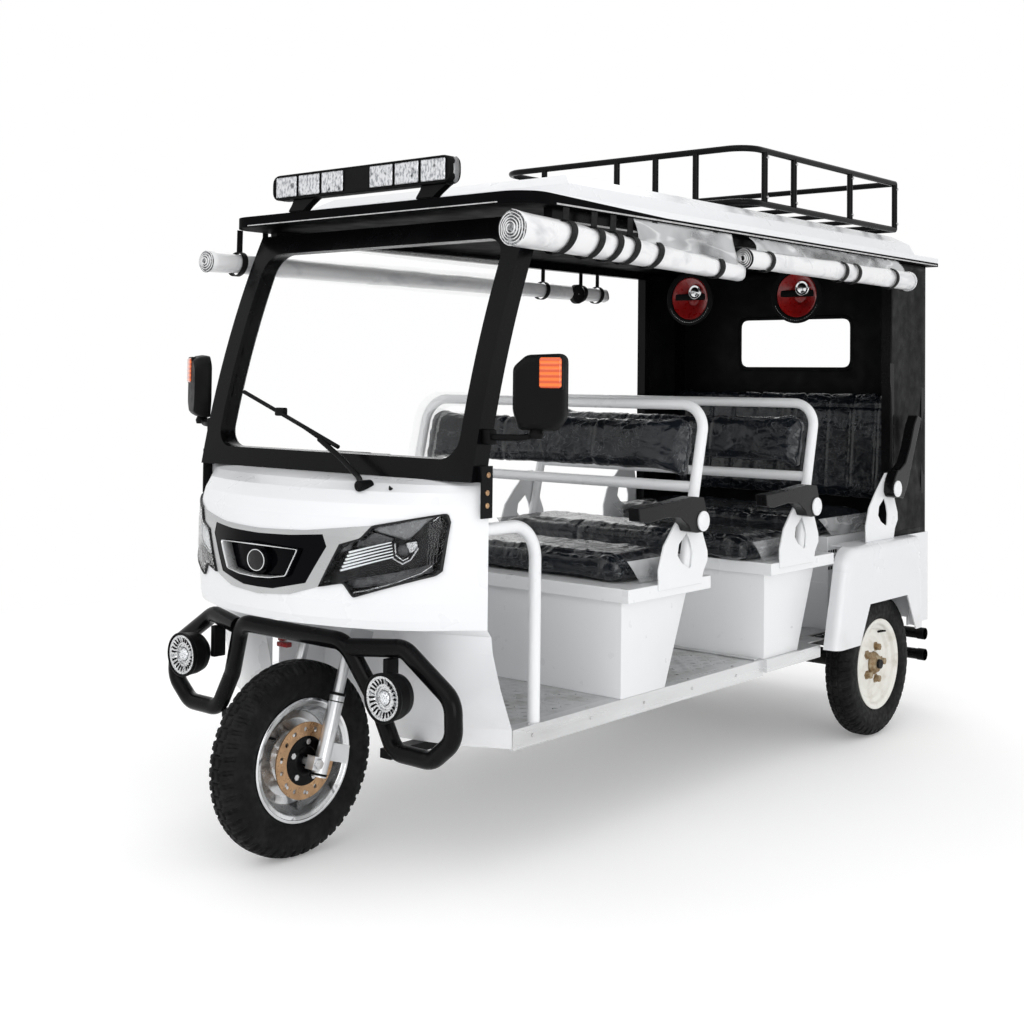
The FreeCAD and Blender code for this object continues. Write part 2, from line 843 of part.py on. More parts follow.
def rear_axle():
    """The driven axle: its tube, drums, gear case, motor and wheel pins."""
    level = z.tyre_radius
    tube = rod("axle_tube", (0, REAR_AXLE, level), z.axle_tube_radius, z.axle_half_length * 2, "x")
    drum = rod("drum", (z.axle_half_length + z.drum_width / 2, REAR_AXLE, level),
               z.drum_radius, z.drum_width, "x")
    hub_face = z.rear_track_half_width + z.rear_hub_half_width
    pin_end = hub_face + z.hub_radius / 2
    pin = rod("rear_pin", ((z.axle_half_length + pin_end) / 2, REAR_AXLE, level),
              z.pin_radius, pin_end - z.axle_half_length, "x")
    nut = rod("rear_nut", ((hub_face + z.seat_gap + pin_end) / 2, REAR_AXLE, level), z.pin_radius * 1.7,
              pin_end - hub_face - z.seat_gap, "x")
    side = fuse("axle_side", drum, pin, nut)
    case = rod("gear_case", (0, REAR_AXLE, level), z.gear_case_radius, z.gear_case_width, "x")
    motor = rod("motor", (0, REAR_AXLE - z.gear_case_radius - z.motor_length / 2 + z.overrun, level),
                z.motor_radius, z.motor_length, "y")
    return label(fuse("rear_axle", tube, side, mirrored("axle_side_far", side), case, motor), "rear_axle")


def leaf_springs():
    """A pack of three leaves under each rail, cambered so that its ends meet the rail."""
    seat = z.tyre_radius + z.axle_tube_radius
    under = z.floor_top - z.floor_plate - z.rail_height
    camber = under - seat - z.spring_leaf * 3
    side = z.rail_offset - z.spring_width / 2
    leaves = []
    for number, share in enumerate((1, 0.72, 0.44)):
        body = start_body("leaf_%d" % number)
        top = under - z.spring_leaf * number
        half = SPRING_HALF * share
        rise = camber * share * share
        mid_top = top - camber
        pad(body, "YZ_Plane", [
            (REAR_AXLE - half, mid_top + rise, REAR_AXLE, mid_top),
            (REAR_AXLE + half, mid_top + rise),
            (REAR_AXLE + half, mid_top + rise - z.spring_leaf, REAR_AXLE, mid_top - z.spring_leaf),
            (REAR_AXLE - half, mid_top + rise - z.spring_leaf),
        ], side, side + z.spring_width)
        leaves.append(body)
    return label(pair("leaf_springs", fuse("leaf_pack", *leaves)), "leaf_springs")


def battery_pack():
    """The traction battery, one plain block on the floor inside the middle seat box."""
    front = z.middle_box_shift - z.seat_box_front + z.seat_box_wall
    return label(block("battery_pack", (-z.sill_half_width * 0.7, front, z.floor_top),
                       (z.sill_half_width * 0.7, front + z.seat_box_foot * 0.85,
                         z.floor_top + z.seat_box_foot)),
                 "battery_pack")


def rear_bumper():
    """Two capped pipes across the rear, on a stay under each rail."""
    y = z.tub_rear + z.bumper_reach - z.bumper_pipe_radius
    low = rod("bumper_low_pipe", (0, y, z.bumper_low), z.bumper_pipe_radius, z.bumper_half_width * 2, "x")
    high = rod("bumper_high_pipe", (0, y, z.bumper_high), z.bumper_pipe_radius, z.bumper_half_width * 2, "x")
    under = z.floor_top - z.floor_plate - z.rail_height
    start = z.tub_rear - z.bumper_stay_lead
    stay = block("bumper_stay", (z.rail_offset - z.rail_wall, start, z.bumper_low - z.bumper_pipe_radius),
                 (z.rail_offset + z.rail_wall, y, under))
    return label(fuse("rear_bumper", low, high, stay, mirrored("bumper_stay_far", stay)), "rear_bumper")


# Front cowl, lamps and grille: all cut from one lofted nose

PLAN_SHARES = [(0.175, 0.015), (0.35, 0.09), (0.61, 0.286), (0.787, 0.536), (0.874, 0.73), (0.944, 0.89)]
LAMP_SHARES = [(0.365, 0.269), (0.467, 0.567), (0.563, 0.614), (0.608, 0.70), (0.871, 0.789), (0.881, 0.731),
               (0.860, 0.405), (0.843, 0.373), (0.533, 0.211), (0.486, 0.305)]
TRIM_SHARES = [(0, 0.634), (0.288, 0.647), (0.608, 0.70), (0.563, 0.614), (0.467, 0.567), (0.365, 0.269),
               (0.21, 0.2), (0, 0.175)]
BEZEL_SHARES = [(0, 0.60), (0.208, 0.608), (0.385, 0.627), (0.406, 0.545), (0.30, 0.287), (0.105, 0.225),
                (0, 0.222)]
RECESS_SHARES = [(0, 0.51), (0.28, 0.515), (0.20, 0.32), (0.05, 0.30), (0, 0.30)]


# Rise above the lip, and how far the front lies ahead of the axle, as shares of the upper height and the nose lead
UPPER_SHARES = [(0, 0.86), (0.06, 0.94), (0.18, 1), (0.4, 1.01), (0.62, 1), (0.75, 0.93), (0.84, 0.77),
                (0.92, 0.42), (0.97, 0), (1, -0.55)]


def nose_sections():
    """Levels of the cowl with how far its front and its rear edge lie behind the front axle."""
    sections = [
        (z.cowl_bottom, z.nose_lead * 0.95, z.sill_front_lead - z.seat_gap),
        (z.floor_top, z.nose_lead * 0.88, z.sill_front_lead - z.seat_gap),
        (z.cowl_lip * 0.76, z.nose_lead * 0.73, z.sill_front_lead * 0.81),
        (z.cowl_lip * 0.9, z.nose_lead * 0.56, z.sill_front_lead * 0.69),
        (z.cowl_lip * 0.97, z.nose_lead * 0.46, z.sill_front_lead * 0.66),
    ]
    rise = z.cowl_top - z.cowl_lip
    rear = z.sill_front_lead * 0.6
    for share, lead in UPPER_SHARES:
        sections.append((z.cowl_lip + rise * share, -z.nose_lead * lead, rear))
    return sections


def nose_plan(level, front, rear, grow, back):
    """One closed plan outline of the nose: a curve round the front and a straight line at the rear."""
    half = float(z.cowl_half_width) + grow
    start = float(FRONT_AXLE) + float(front) - grow
    depth = float(FRONT_AXLE) + float(rear) - start
    left = [Vector(half * x, start + depth * y, float(level)) for x, y in PLAN_SHARES]
    left.append(Vector(half, start + depth, float(level)))
    right = [Vector(-spot.x, spot.y, spot.z) for spot in reversed(left)]
    curve = Part.BSplineCurve()
    curve.interpolate(right + [Vector(0, start, float(level))] + left)
    end = start + depth + back
    edges = [curve.toShape()]
    corners = [left[-1], Vector(half, end, float(level)), Vector(-half, end, float(level)), right[0]]
    for first, second in zip(corners, corners[1:]):
        if first.distanceToPoint(second) > 0:
            edges.append(Part.LineSegment(first, second).toShape())
    return Part.Wire(edges)


def nose_solid(grow, back):
    """The nose's outer form, grown by a distance and carried back past its rear edge."""
    wires = [nose_plan(level, front, rear, grow, back) for level, front, rear in nose_sections()]
    return Part.makeLoft(wires, True, True)


def nose_prism(shares, both_sides):
    """A prism along Y over an outline on the nose, given in shares of its width and of its upper height."""
    rise = z.cowl_top - z.cowl_lip
    spots = [(float(z.cowl_half_width) * x, float(z.cowl_lip + rise * y)) for x, y in shares]
    if both_sides:
        spots += [(-x, level) for x, level in reversed(spots) if x > 0]
    start = float(FRONT_AXLE - z.nose_lead * 2)
    wire = Part.makePolygon([Vector(x, start, level) for x, level in spots + spots[:1]])
    return Part.Face(wire).extrude(Vector(0, float(z.nose_lead * 4), 0))


def nose_band(proud, depth, prism):
    """The slice of the nose between two offsets of its surface that lies within a prism."""
    outer = nose_solid(proud, 0)
    inner = nose_solid(-depth, float(z.overrun))
    return outer.common(prism).cut(inner)


def far_side(shape):
    return shape.mirror(Vector(), AXES["x"])


def front_cowl():
    """The white nose and leg shields as one shell, open behind, over the wheel and at the lamps."""
    wall = float(z.cowl_wall)
    below = Part.makeBox(float(z.wheelbase), float(z.wheelbase), float(z.cowl_top - z.cowl_wall),
                         point(-z.wheelbase / 2, FRONT_AXLE - z.wheelbase / 2, 0))
    shell = nose_solid(0, 0).cut(nose_solid(-wall, float(z.overrun)).common(below))
    half = float(z.wheel_well_half_width)
    arch = Part.makeBox(half * 2, float(z.wheelbase), float(z.cowl_lip * 0.97 - z.cowl_bottom + z.overrun),
                        Vector(-half, float(FRONT_AXLE - z.nose_lead * 2), float(z.cowl_bottom - z.overrun)))
    lamp = nose_prism(LAMP_SHARES, False)
    cuts = [arch, lamp, far_side(lamp), nose_prism(TRIM_SHARES, True)]
    return label(plain("front_cowl", shell.cut(cuts)), "front_cowl")


def headlamps():
    """A lamp unit each side that follows the nose and stands a little proud of it."""
    lamp = nose_band(float(z.lamp_proud), float(z.lamp_depth), nose_prism(LAMP_SHARES, False))
    return label(plain("headlamps", Part.makeCompound([lamp, far_side(lamp)])), "headlamps")


def nose_trim():
    """The bright band across the nose, which widens into a frame round the grille."""
    bezel = nose_prism(BEZEL_SHARES, True)
    band = nose_band(float(z.lamp_proud) / 2, float(z.cowl_wall), nose_prism(TRIM_SHARES, True))
    return label(plain("nose_trim", band.cut(bezel)), "nose_trim")


def grille():
    """The black six-sided grille with its recess and a plain round badge ring."""
    bezel = nose_prism(BEZEL_SHARES, True)
    block_shape = nose_band(float(z.lamp_proud) / 3, float(z.lamp_depth), bezel)
    recess = nose_band(float(z.lamp_depth), float(z.lamp_proud) * 2, nose_prism(RECESS_SHARES, True))
    hollowed = block_shape.cut(recess)
    rise = z.cowl_top - z.cowl_lip
    middle = point(0, FRONT_AXLE - z.nose_lead, z.cowl_lip + rise * 0.41)
    radius = float(z.cowl_half_width) * 0.068
    depth = float(z.lamp_depth) * 0.8
    badge = Part.makeCylinder(radius, depth, middle, AXES["y"])
    ring_cut = Part.makeCylinder(radius * 0.86, float(z.lamp_proud) / 2, middle, AXES["y"])
    return label(plain("grille", hollowed.fuse(badge.cut(ring_cut))), "grille")


def bumper_guard():
    """The tube guard: an arch over the wheel and a loop round each fog lamp, with stays to the frame."""
    y = FRONT_AXLE + z.guard_lead
    arch_y = FRONT_AXLE - z.guard_lead * 0.33
    low = z.cowl_bottom
    top = z.guard_top - z.guard_tube
    side = z.fog_offset
    join = (side * 1.04, y, low)
    leg = [
        join,
        (side * 0.88, y, low),
        (side * 0.73, y, z.fog_level * 0.9),
        (side * 0.52, arch_y, top),
    ]
    arch = bent_tube("guard_arch", leg + across(leg), z.guard_tube, z.guard_bend)
    loop = [
        join,
        (side * 1.2, y, low),
        (side * 1.38, y, z.fog_level * 0.8),
        (side * 1.37, y, z.fog_level),
        (side * 0.95, y, top),
        (side * 0.56, arch_y, top - z.guard_tube / 2),
    ]
    loop_tube = bent_tube("guard_loop", loop, z.guard_tube, z.guard_bend)
    foot_y = FRONT_AXLE + z.wheel_well_lead + z.sheet_wall
    rail_low = z.floor_top - z.floor_plate - z.rail_height
    stay = block("guard_stay", (z.rail_offset - z.rail_width / 2, y, rail_low - z.guard_tube),
                 (z.rail_offset + z.rail_width / 2, foot_y + z.rail_width, rail_low))
    sides = fuse("guard_side", loop_tube, stay)
    return label(fuse("bumper_guard", arch, sides, mirrored("guard_side_far", sides)), "bumper_guard")


def fog_lamps():
    """A round lamp in each loop of the guard, on a stem from the tube above."""
    y = FRONT_AXLE + z.guard_lead
    back = y - z.guard_tube - z.seat_gap
    body = rod("fog_body", (z.fog_offset, back - z.fog_depth / 2, z.fog_level),
               z.fog_radius, z.fog_depth, "y")
    under = z.guard_top - z.guard_tube * 2.16
    side = z.fog_offset - z.fog_radius * 0.9
    stem = block("fog_stem", (side - z.guard_tube * 0.4, back, z.fog_level - z.guard_tube * 0.4),
                 (side + z.guard_tube * 0.4, y + z.guard_tube * 0.4, under))
    return label(pair("fog_lamps", fuse("fog_lamp", body, stem)), "fog_lamps")


# Windscreen

def screen_band(name, half, setback, thickness, low, high):
    """A curved upright band: a side profile between two arcs, carried across the vehicle."""
    body = start_body(name)

    def lead(level_share):
        return FRONT_AXLE + z.screen_base_lead + z.screen_lean * level_share + setback

    def level(level_share):
        return z.cowl_top + z.screen_height * level_share

    middle = (low + high) / 2
    bow = z.screen_bow * (4 * middle * (1 - middle))
    ends = z.screen_bow * (4 * low * (1 - low))
    tops = z.screen_bow * (4 * high * (1 - high))
    pad(body, "YZ_Plane", [
        (lead(low) - ends, level(low), lead(middle) - bow, level(middle)),
        (lead(high) - tops, level(high)),
        (lead(high) - tops + thickness, level(high), lead(middle) - bow + thickness, level(middle)),
        (lead(low) - ends + thickness, level(low)),
    ], -half, half)
    return body


def soft_rectangle(left, right, low, high, radius):
    """Corners of an outline with round corners."""
    bulge = radius * 0.29289
    return [
        (left + radius, low), (right - radius, low, right - bulge, low + bulge),
        (right, low + radius), (right, high - radius, right - bulge, high - bulge),
        (right - radius, high), (left + radius, high, left + bulge, high - bulge),
        (left, high - radius), (left, low + radius, left + bulge, low + bulge),
    ]


def screen_opening(name):
    """The prism that the windscreen's glass fills."""
    body = start_body(name)
    half = z.screen_half_width - z.screen_border
    low = z.cowl_top + z.screen_sill
    high = z.cowl_top + z.screen_height - z.screen_header
    pad(body, "XZ_Plane", soft_rectangle(-half, half, low, high, z.screen_border), FRONT_AXLE,
        FRONT_AXLE + z.screen_base_lead + z.screen_lean + z.screen_frame_depth + z.overrun)
    return body


def windscreen_frame():
    """The black screen frame, with a strap each side down to the cowl."""
    band = screen_band("screen_band", z.screen_half_width, 0, z.screen_frame_depth, 0, 1)
    ring = cut("screen_ring", band, screen_opening("screen_hole"))
    y = FRONT_AXLE + z.screen_base_lead + z.strap_width / 2
    upper = block("strap_upper", (z.screen_half_width, y, z.cowl_top),
                  (z.cowl_half_width + z.cowl_wall, y + z.strap_width, z.cowl_top + z.strap_width))
    lower = block("strap_lower", (z.cowl_half_width, y, z.cowl_top + z.strap_width - z.strap_length),
                  (z.cowl_half_width + z.cowl_wall, y + z.strap_width, z.cowl_top))
    strap = fuse("strap", upper, lower)
    return label(fuse("windscreen_frame", ring, strap, mirrored("strap_far", strap)), "windscreen_frame")


def windscreen_glass():
    """The curved pane, set in the frame's opening."""
    pane = screen_band("pane_band", z.screen_half_width, z.screen_frame_depth / 4, z.glass_thickness, 0, 1)
    return label(common("windscreen_glass", pane, screen_opening("pane_outline")), "windscreen_glass")


def wiper():
    """The wiper's pivot on the cowl, its arm and its blade."""
    half = z.screen_half_width
    y = FRONT_AXLE + z.screen_base_lead - z.screen_bow
    low = (z.wiper_pivot_offset, y - z.screen_bow, z.cowl_top + z.screen_bow * 0.565 + z.seat_gap)
    elbow = (-half * 0.355, y + z.screen_bow * 0.5, z.cowl_top + z.screen_height * 0.226)
    arm = bent_tube("wiper_arm", [low, (0, y - z.screen_bow * 0.6, z.cowl_top + z.screen_height * 0.1), elbow],
                    z.screen_bow / 4, z.screen_bow * 4)
    blade = bent_tube("wiper_blade", [
        (half * 0.02, y - z.screen_bow * 0.4, z.cowl_top + z.screen_height * 0.1),
        elbow,
        (-half * 0.74, y + z.screen_bow * 0.9, z.cowl_top + z.screen_height * 0.305),
    ], z.screen_bow / 4, z.screen_bow * 4)
    pivot = rod("wiper_pivot", low, z.screen_bow * 0.6, z.screen_bow * 1.6, "y")
    return label(fuse("wiper", pivot, arm, blade), "wiper")


def dashboard():
    """The shelf behind the cowl, under the windscreen's sill."""
    front = FRONT_AXLE + z.sill_front_lead * 0.6 + z.seat_gap
    half = z.cowl_half_width * 0.7
    return label(block("dashboard", (-half, front, z.cowl_top - z.strap_length * 0.6),
                       (half, front + z.strap_length * 0.7, z.cowl_top)), "dashboard")


# Roof

def roof_rim():
    """The black rim, its thin ceiling and the visor's wedge over the windscreen."""
    body = start_body("roof_rim")
    half = z.roof_half_width
    top = z.roof_under + z.roof_rim_height
    corner = z.roof_corner
    bulge = corner * 0.29289
    pad(body, "XY_Plane", [
        (-half + corner, -z.roof_front), (half - corner, -z.roof_front, half - bulge, -z.roof_front + bulge),
        (half, -z.roof_front + corner), (half, z.roof_rear), (-half, z.roof_rear),
        (-half, -z.roof_front + corner, -half + bulge, -z.roof_front + bulge),
    ], z.roof_under, top)
    inner = half - z.crown_inset
    front = -z.roof_front + z.crown_front_inset
    rear = z.roof_rear - z.crown_inset
    pocket(body, "XY_Plane", [(-inner, front), (inner, front), (inner, rear), (-inner, rear)],
           z.roof_under + z.ceiling_plate, top + z.overrun)
    return label(body, "roof_rim")


def crown_level(level, inset):
    """One level of the crown: the rim's pocket, drawn in by an inset."""
    gap = float(z.seat_gap) + inset
    half = float(z.roof_half_width - z.crown_inset) - gap
    front = float(-z.roof_front + z.crown_front_inset) + gap
    rear = float(z.roof_rear - z.crown_inset) - gap
    return Part.makePlane(half * 2, rear - front, Vector(-half, front, level)).OuterWire


def crown_form(wall):
    """The crown's outer form, or the hollow that leaves a wall of its thickness."""
    base = float(z.roof_under + z.ceiling_plate)
    low = float(z.roof_under + z.roof_rim_height)
    rise = float(z.crown_height)
    slope = float(z.crown_slope)
    levels = [(base, 0), (low, 0), (low + rise * 0.62, slope * 0.3), (low + rise - wall, slope)]
    return Part.makeLoft([crown_level(level, inset + wall) for level, inset in levels], True, True)


def roof_crown():
    """The white raised panel, a shell that sits in the rim and slopes in to a flat top."""
    return label(plain("roof_crown", crown_form(0).cut(crown_form(float(z.sheet_wall)))), "roof_crown")


def roof_rails():
    """A rail under each side of the roof, from the windscreen to the rear."""
    start = FRONT_AXLE + z.screen_base_lead + z.screen_lean + z.screen_frame_depth
    rail = block("roof_rail", (z.post_offset - z.cant_rail / 2, start, z.roof_under - z.cant_rail),
                 (z.post_offset + z.cant_rail / 2, z.canvas_front, z.roof_under))
    return label(pair("roof_rails", rail), "roof_rails")


def roof_posts():
    """The four posts that carry the rear of the roof."""
    half = z.post_size / 2
    posts = []
    for name, y in (("front", z.canvas_front), ("rear", z.tub_rear - z.canvas_wall - z.post_size)):
        posts.append(block("post_" + name, (z.post_offset - half, y, z.tub_top), (z.post_offset + half, y + z.post_size,
                                                                              z.roof_under)))
    posts += [mirrored(post.Name + "_far", post) for post in posts]
    return label(gather("roof_posts", *posts), "roof_posts")


def rear_canvas():
    """The canvas round the rear seat: two sides and a back wall with a window hole."""
    body = start_body("rear_canvas")
    outer = z.post_offset + z.post_size / 2 + z.canvas_wall
    inner = outer - z.canvas_wall
    back = z.tub_rear
    pad(body, "XY_Plane", [
        (-outer, z.canvas_front), (-inner, z.canvas_front), (-inner, back - z.canvas_wall),
        (inner, back - z.canvas_wall), (inner, z.canvas_front), (outer, z.canvas_front),
        (outer, back), (-outer, back),
    ], z.tub_top, z.roof_under)
    half = z.window_half_width
    pocket(body, "XZ_Plane", soft_rectangle(-half, half, z.window_low, z.window_high, z.post_size),
           back - z.overrun, back + z.overrun)
    return label(body, "rear_canvas")


def rear_window():
    """The clear pane in the canvas."""
    body = start_body("rear_window")
    half = z.window_half_width
    pad(body, "XZ_Plane", soft_rectangle(-half, half, z.window_low, z.window_high, z.post_size),
        z.tub_rear - z.canvas_wall, z.tub_rear)
    return label(body, "rear_window")


def roof_rack():
    """The luggage basket: two rail loops, posts, floor bars and feet on the crown."""
    half = z.rack_half_width
    corner = [
        (half, z.rack_rear, 0),
        (half, z.rack_front, 0),
    ]
    pieces = []
    for number, level in enumerate((z.rack_low, RACK_TOP)):
        route = [(x, y, level) for x, y, _ in corner]
        pieces.append(bent_tube("rack_loop_%d" % number, route + across(route), z.rack_tube, z.rack_bend))
        pieces.append(rod("rack_end_%d" % number, (0, z.rack_rear, level), z.rack_tube, half * 2, "x"))
    rise = RACK_TOP - z.rack_low
    middle = (RACK_TOP + z.rack_low) / 2
    span = z.rack_rear - z.rack_front
    for number, share in enumerate((0.1, 0.28, 0.66, 1)):
        post = rod("rack_post_%d" % number, (half, z.rack_front + span * share, middle),
                   z.rack_tube, rise, "z")
        pieces += [post, mirrored("rack_post_far_%d" % number, post)]
    for number, share in enumerate((-0.62, 0, 0.31, 0.62)):
        pieces.append(rod("rack_front_post_%d" % number, (half * share, z.rack_front, middle),
                          z.rack_tube, rise, "z"))
    for number in range(5):
        y = z.rack_front + span * ((number + 0.5) / 5)
        pieces.append(rod("rack_bar_%d" % number, (0, y, z.rack_low), z.rack_tube * 0.8, half * 2, "x"))
    foot_top = z.rack_low
    crown_top = z.roof_under + z.roof_rim_height + z.crown_height
    for number, share in enumerate((0.1, 0.9)):
        y = z.rack_front + span * ((number * 4 + 0.5) / 5)
        foot = rod("rack_foot_%d" % number, (half * 0.75, y, (foot_top + crown_top) / 2), z.rack_tube,
                   foot_top - crown_top, "z")
        pieces += [foot, mirrored("rack_foot_far_%d" % number, foot)]
    return label(fuse("roof_rack", *pieces), "roof_rack")


def light_bar():
    """The lamp bar on the visor: a long housing with round ends on two feet."""
    body = start_body("light_bar_housing")
    half = z.bar_lamp_half_width
    low = z.bar_lamp_low
    high = low + z.bar_lamp_height
    radius = z.bar_lamp_height / 2
    middle = low + radius
    pad(body, "XZ_Plane", [
        (-half + radius, low), (half - radius, low, half, middle),
        (half - radius, high), (-half + radius, high, -half, middle),
    ], -z.bar_lamp_front, -z.bar_lamp_front + z.bar_lamp_depth)
    top = z.roof_under + z.roof_rim_height
    foot = block("light_bar_foot", (z.bar_foot_offset - z.bar_foot_width / 2, -z.roof_front, top),
                 (z.bar_foot_offset + z.bar_foot_width / 2, -z.bar_lamp_front + z.bar_lamp_depth,
                   low + z.cant_rail))
    return label(fuse("light_bar", body, foot, mirrored("light_bar_foot_far", foot)), "light_bar")


# Seats

def seat_box(name, shift, front, half):
    """A sheet seat box: an upright front, a raked back and a ledge round the top."""
    body = start_body(name)
    start = shift - front
    foot = start + z.seat_box_foot
    head = start + z.seat_box_head
    ledge = z.seat_box_top + z.seat_ledge
    wall = z.seat_box_wall
    over = z.seat_ledge_over
    low = z.floor_top
    pad(body, "YZ_Plane", [(start, low), (foot, low), (head, z.seat_box_top), (start, z.seat_box_top)], -half, half)
    ledge_half = half + z.seat_ledge_out
    pad(body, "YZ_Plane", [(start - over, z.seat_box_top), (head + over * 5, z.seat_box_top),
                           (head + over * 5, ledge), (start - over, ledge)], -ledge_half, ledge_half)
    pocket(body, "YZ_Plane", [(start + wall, low - z.overrun), (foot - wall, low - z.overrun), (foot - wall, low),
                              (head - wall, z.seat_box_top), (head - wall, ledge - wall),
                              (start + wall, ledge - wall), (start + wall, low)], -half + wall, half - wall)
    return label(body, name)


def rear_seat_box():
    """The low box of the rear seat, between the wheels, with a vent panel at its left end."""
    body = start_body("seat_box_rear")
    half = REAR_BOX_HALF
    start = z.rear_box_front
    rear = z.tub_rear - z.tub_flange - z.seat_gap
    top = z.rear_cushion_level
    wall = z.seat_box_wall
    pad(body, "YZ_Plane", [(start, z.floor_top), (rear, z.floor_top), (rear, top), (start, top)], -half, half)
    pocket(body, "YZ_Plane", [(start + wall, z.floor_top - z.overrun), (rear - wall, z.floor_top - z.overrun),
                              (rear - wall, top - wall), (start + wall, top - wall)], -half + wall, half - wall)
    return label(body, "seat_box_rear")


def cushion(name, start, depth, level, half, thickness):
    """A seat cushion with round edges."""
    body = start_body(name)
    pad(body, "XY_Plane", soft_rectangle(-half, half, start, start + depth, thickness / 2), level,
        level + thickness)
    rounded(body, thickness * 0.3, lambda edge: edge.BoundBox.ZMin > float(level + thickness / 2))
    return label(body, name)


def back_y(shift, level):
    """The raked back's station at a level, for the row moved back by a shift."""
    foot = z.seat_box_top + z.seat_ledge
    share = (float(level) - float(foot)) / (float(z.back_top) - float(foot))
    return shift - z.back_foot_lead + (z.back_foot_lead - z.back_top_lead) * share


def seat_back_frame(name, shift):
    """The hoop that carries a row's back pad, with the rail below the pad."""
    foot = z.seat_box_top + z.seat_ledge
    half = BACK_HALF
    leg = [
        (half, back_y(shift, foot), foot),
        (half, back_y(shift, foot), foot + z.seat_ledge),
        (half, back_y(shift, z.back_top), z.back_top),
    ]
    hoop = bent_tube(name + "_hoop", leg + across(leg), z.back_tube, z.back_bend)
    rail = rod(name + "_rail", (0, back_y(shift, z.back_rail), z.back_rail), z.back_tube, half * 2, "x")
    return fuse(name, hoop, rail)


def back_pad(name, shift):
    """A raked back pad between the hoop's legs, its lower edge on the rail."""
    body = start_body(name)
    low = z.back_rail + z.back_tube + z.seat_gap
    high = z.back_top - z.back_tube - z.seat_gap
    half = BACK_HALF - z.back_tube - z.seat_gap
    thick = z.pad_thickness / 2
    pad(body, "YZ_Plane", [
        (back_y(shift, low) - thick, low), (back_y(shift, low) + thick, low),
        (back_y(shift, high) + thick, high), (back_y(shift, high) - thick, high),
    ], -half, half)
    rounded(body, z.back_bend - z.back_tube - z.seat_gap,
            lambda edge: along(AXES["y"], edge) and edge.BoundBox.ZMin > float(z.pad_high) * 0.99)
    return label(body, name)


def rear_back_pad():
    """The tall back pad of the rear seat, against the canvas wall."""
    body = start_body("seat_back_rear")
    rear = z.tub_rear - z.canvas_wall - z.post_size - z.seat_gap
    half = z.post_offset - z.post_size / 2 - z.seat_gap
    low = z.rear_cushion_level + z.cushion_thickness + z.seat_gap
    thick = z.rear_pad_thickness
    pad(body, "YZ_Plane", [
        (rear - thick * 1.5, low), (rear, low), (rear, z.rear_pad_high), (rear - thick * 0.8, z.rear_pad_high),
    ], -half, half)
    return label(body, "seat_back_rear")


BRACKET_SHARES = [(-0.97, -1.1), (-0.99, -0.76), (-0.84, -0.38), (-0.55, -0.08), (-0.08, 0.33), (0.14, 0.33),
                  (0.3, 0.05), (0.36, -0.22), (0.53, -0.56), (0.54, -0.72), (0.40, -0.9), (0.34, -1.1)]
BRACKET_HOLE_SHARES = [(-0.13, -0.2), (-0.02, -0.37), (0.04, -0.56), (0.02, -0.78), (-0.05, -0.81), (-0.29, -0.7),
                       (-0.42, -0.56), (-0.38, -0.38)]


def bracket(name, pivot, level, side, drop):
    """A teardrop plate with a pointed hole that carries an armrest's pivot."""
    body = start_body(name)

    def spots(shares):
        return [(pivot + z.bracket_reach * y, level + drop * share) for y, share in shares]

    pad(body, "YZ_Plane", spots(BRACKET_SHARES), side, side + z.bracket_plate)
    pocket(body, "YZ_Plane", spots(BRACKET_HOLE_SHARES), side - z.overrun, side + z.bracket_plate + z.overrun)
    return body


def arm_places():
    """Each armrest's name, pivot station and level, its bracket's inner side and how far that reaches down."""
    drop = z.arm_pivot_level - z.seat_box_top - z.seat_ledge
    rear_drop = (z.rear_arm_level - z.tub_top) / -BRACKET_SHARES[0][1]
    row_side = BACK_HALF + z.back_tube
    pivot = -z.arm_pivot_lead
    return [
        ("front", pivot, z.arm_pivot_level, row_side, drop),
        ("middle", pivot + z.row_pitch, z.arm_pivot_level, row_side, drop),
        ("rear", z.rear_arm_pivot, z.rear_arm_level, z.tub_half_width, rear_drop),
    ]


def armrest_brackets():
    """The six bracket plates, those on the left with a pin and a cap for their armrest."""
    pieces = []
    for name, pivot, level, side, drop in arm_places():
        plate = bracket("bracket_" + name, pivot, level, side, drop)
        far = mirrored("bracket_far_" + name, plate)
        face = side + z.bracket_plate
        pin_end = face + z.seat_gap + z.arm_width + z.seat_gap + z.bracket_plate
        pin = rod("arm_pin_" + name, ((side + pin_end) / 2, pivot, level), z.arm_pin, pin_end - side, "x")
        cap = rod("arm_cap_" + name, (pin_end - z.bracket_plate / 2, pivot, level),
                  z.arm_boss * 0.9, z.bracket_plate, "x")
        boss = rod("arm_plate_" + name, (side + z.bracket_plate / 2, pivot, level),
                   z.arm_boss * 0.8, z.bracket_plate, "x")
        pieces += [fuse("bracket_left_" + name, plate, boss, pin, cap), far]
    return label(gather("armrest_brackets", *pieces), "armrest_brackets")


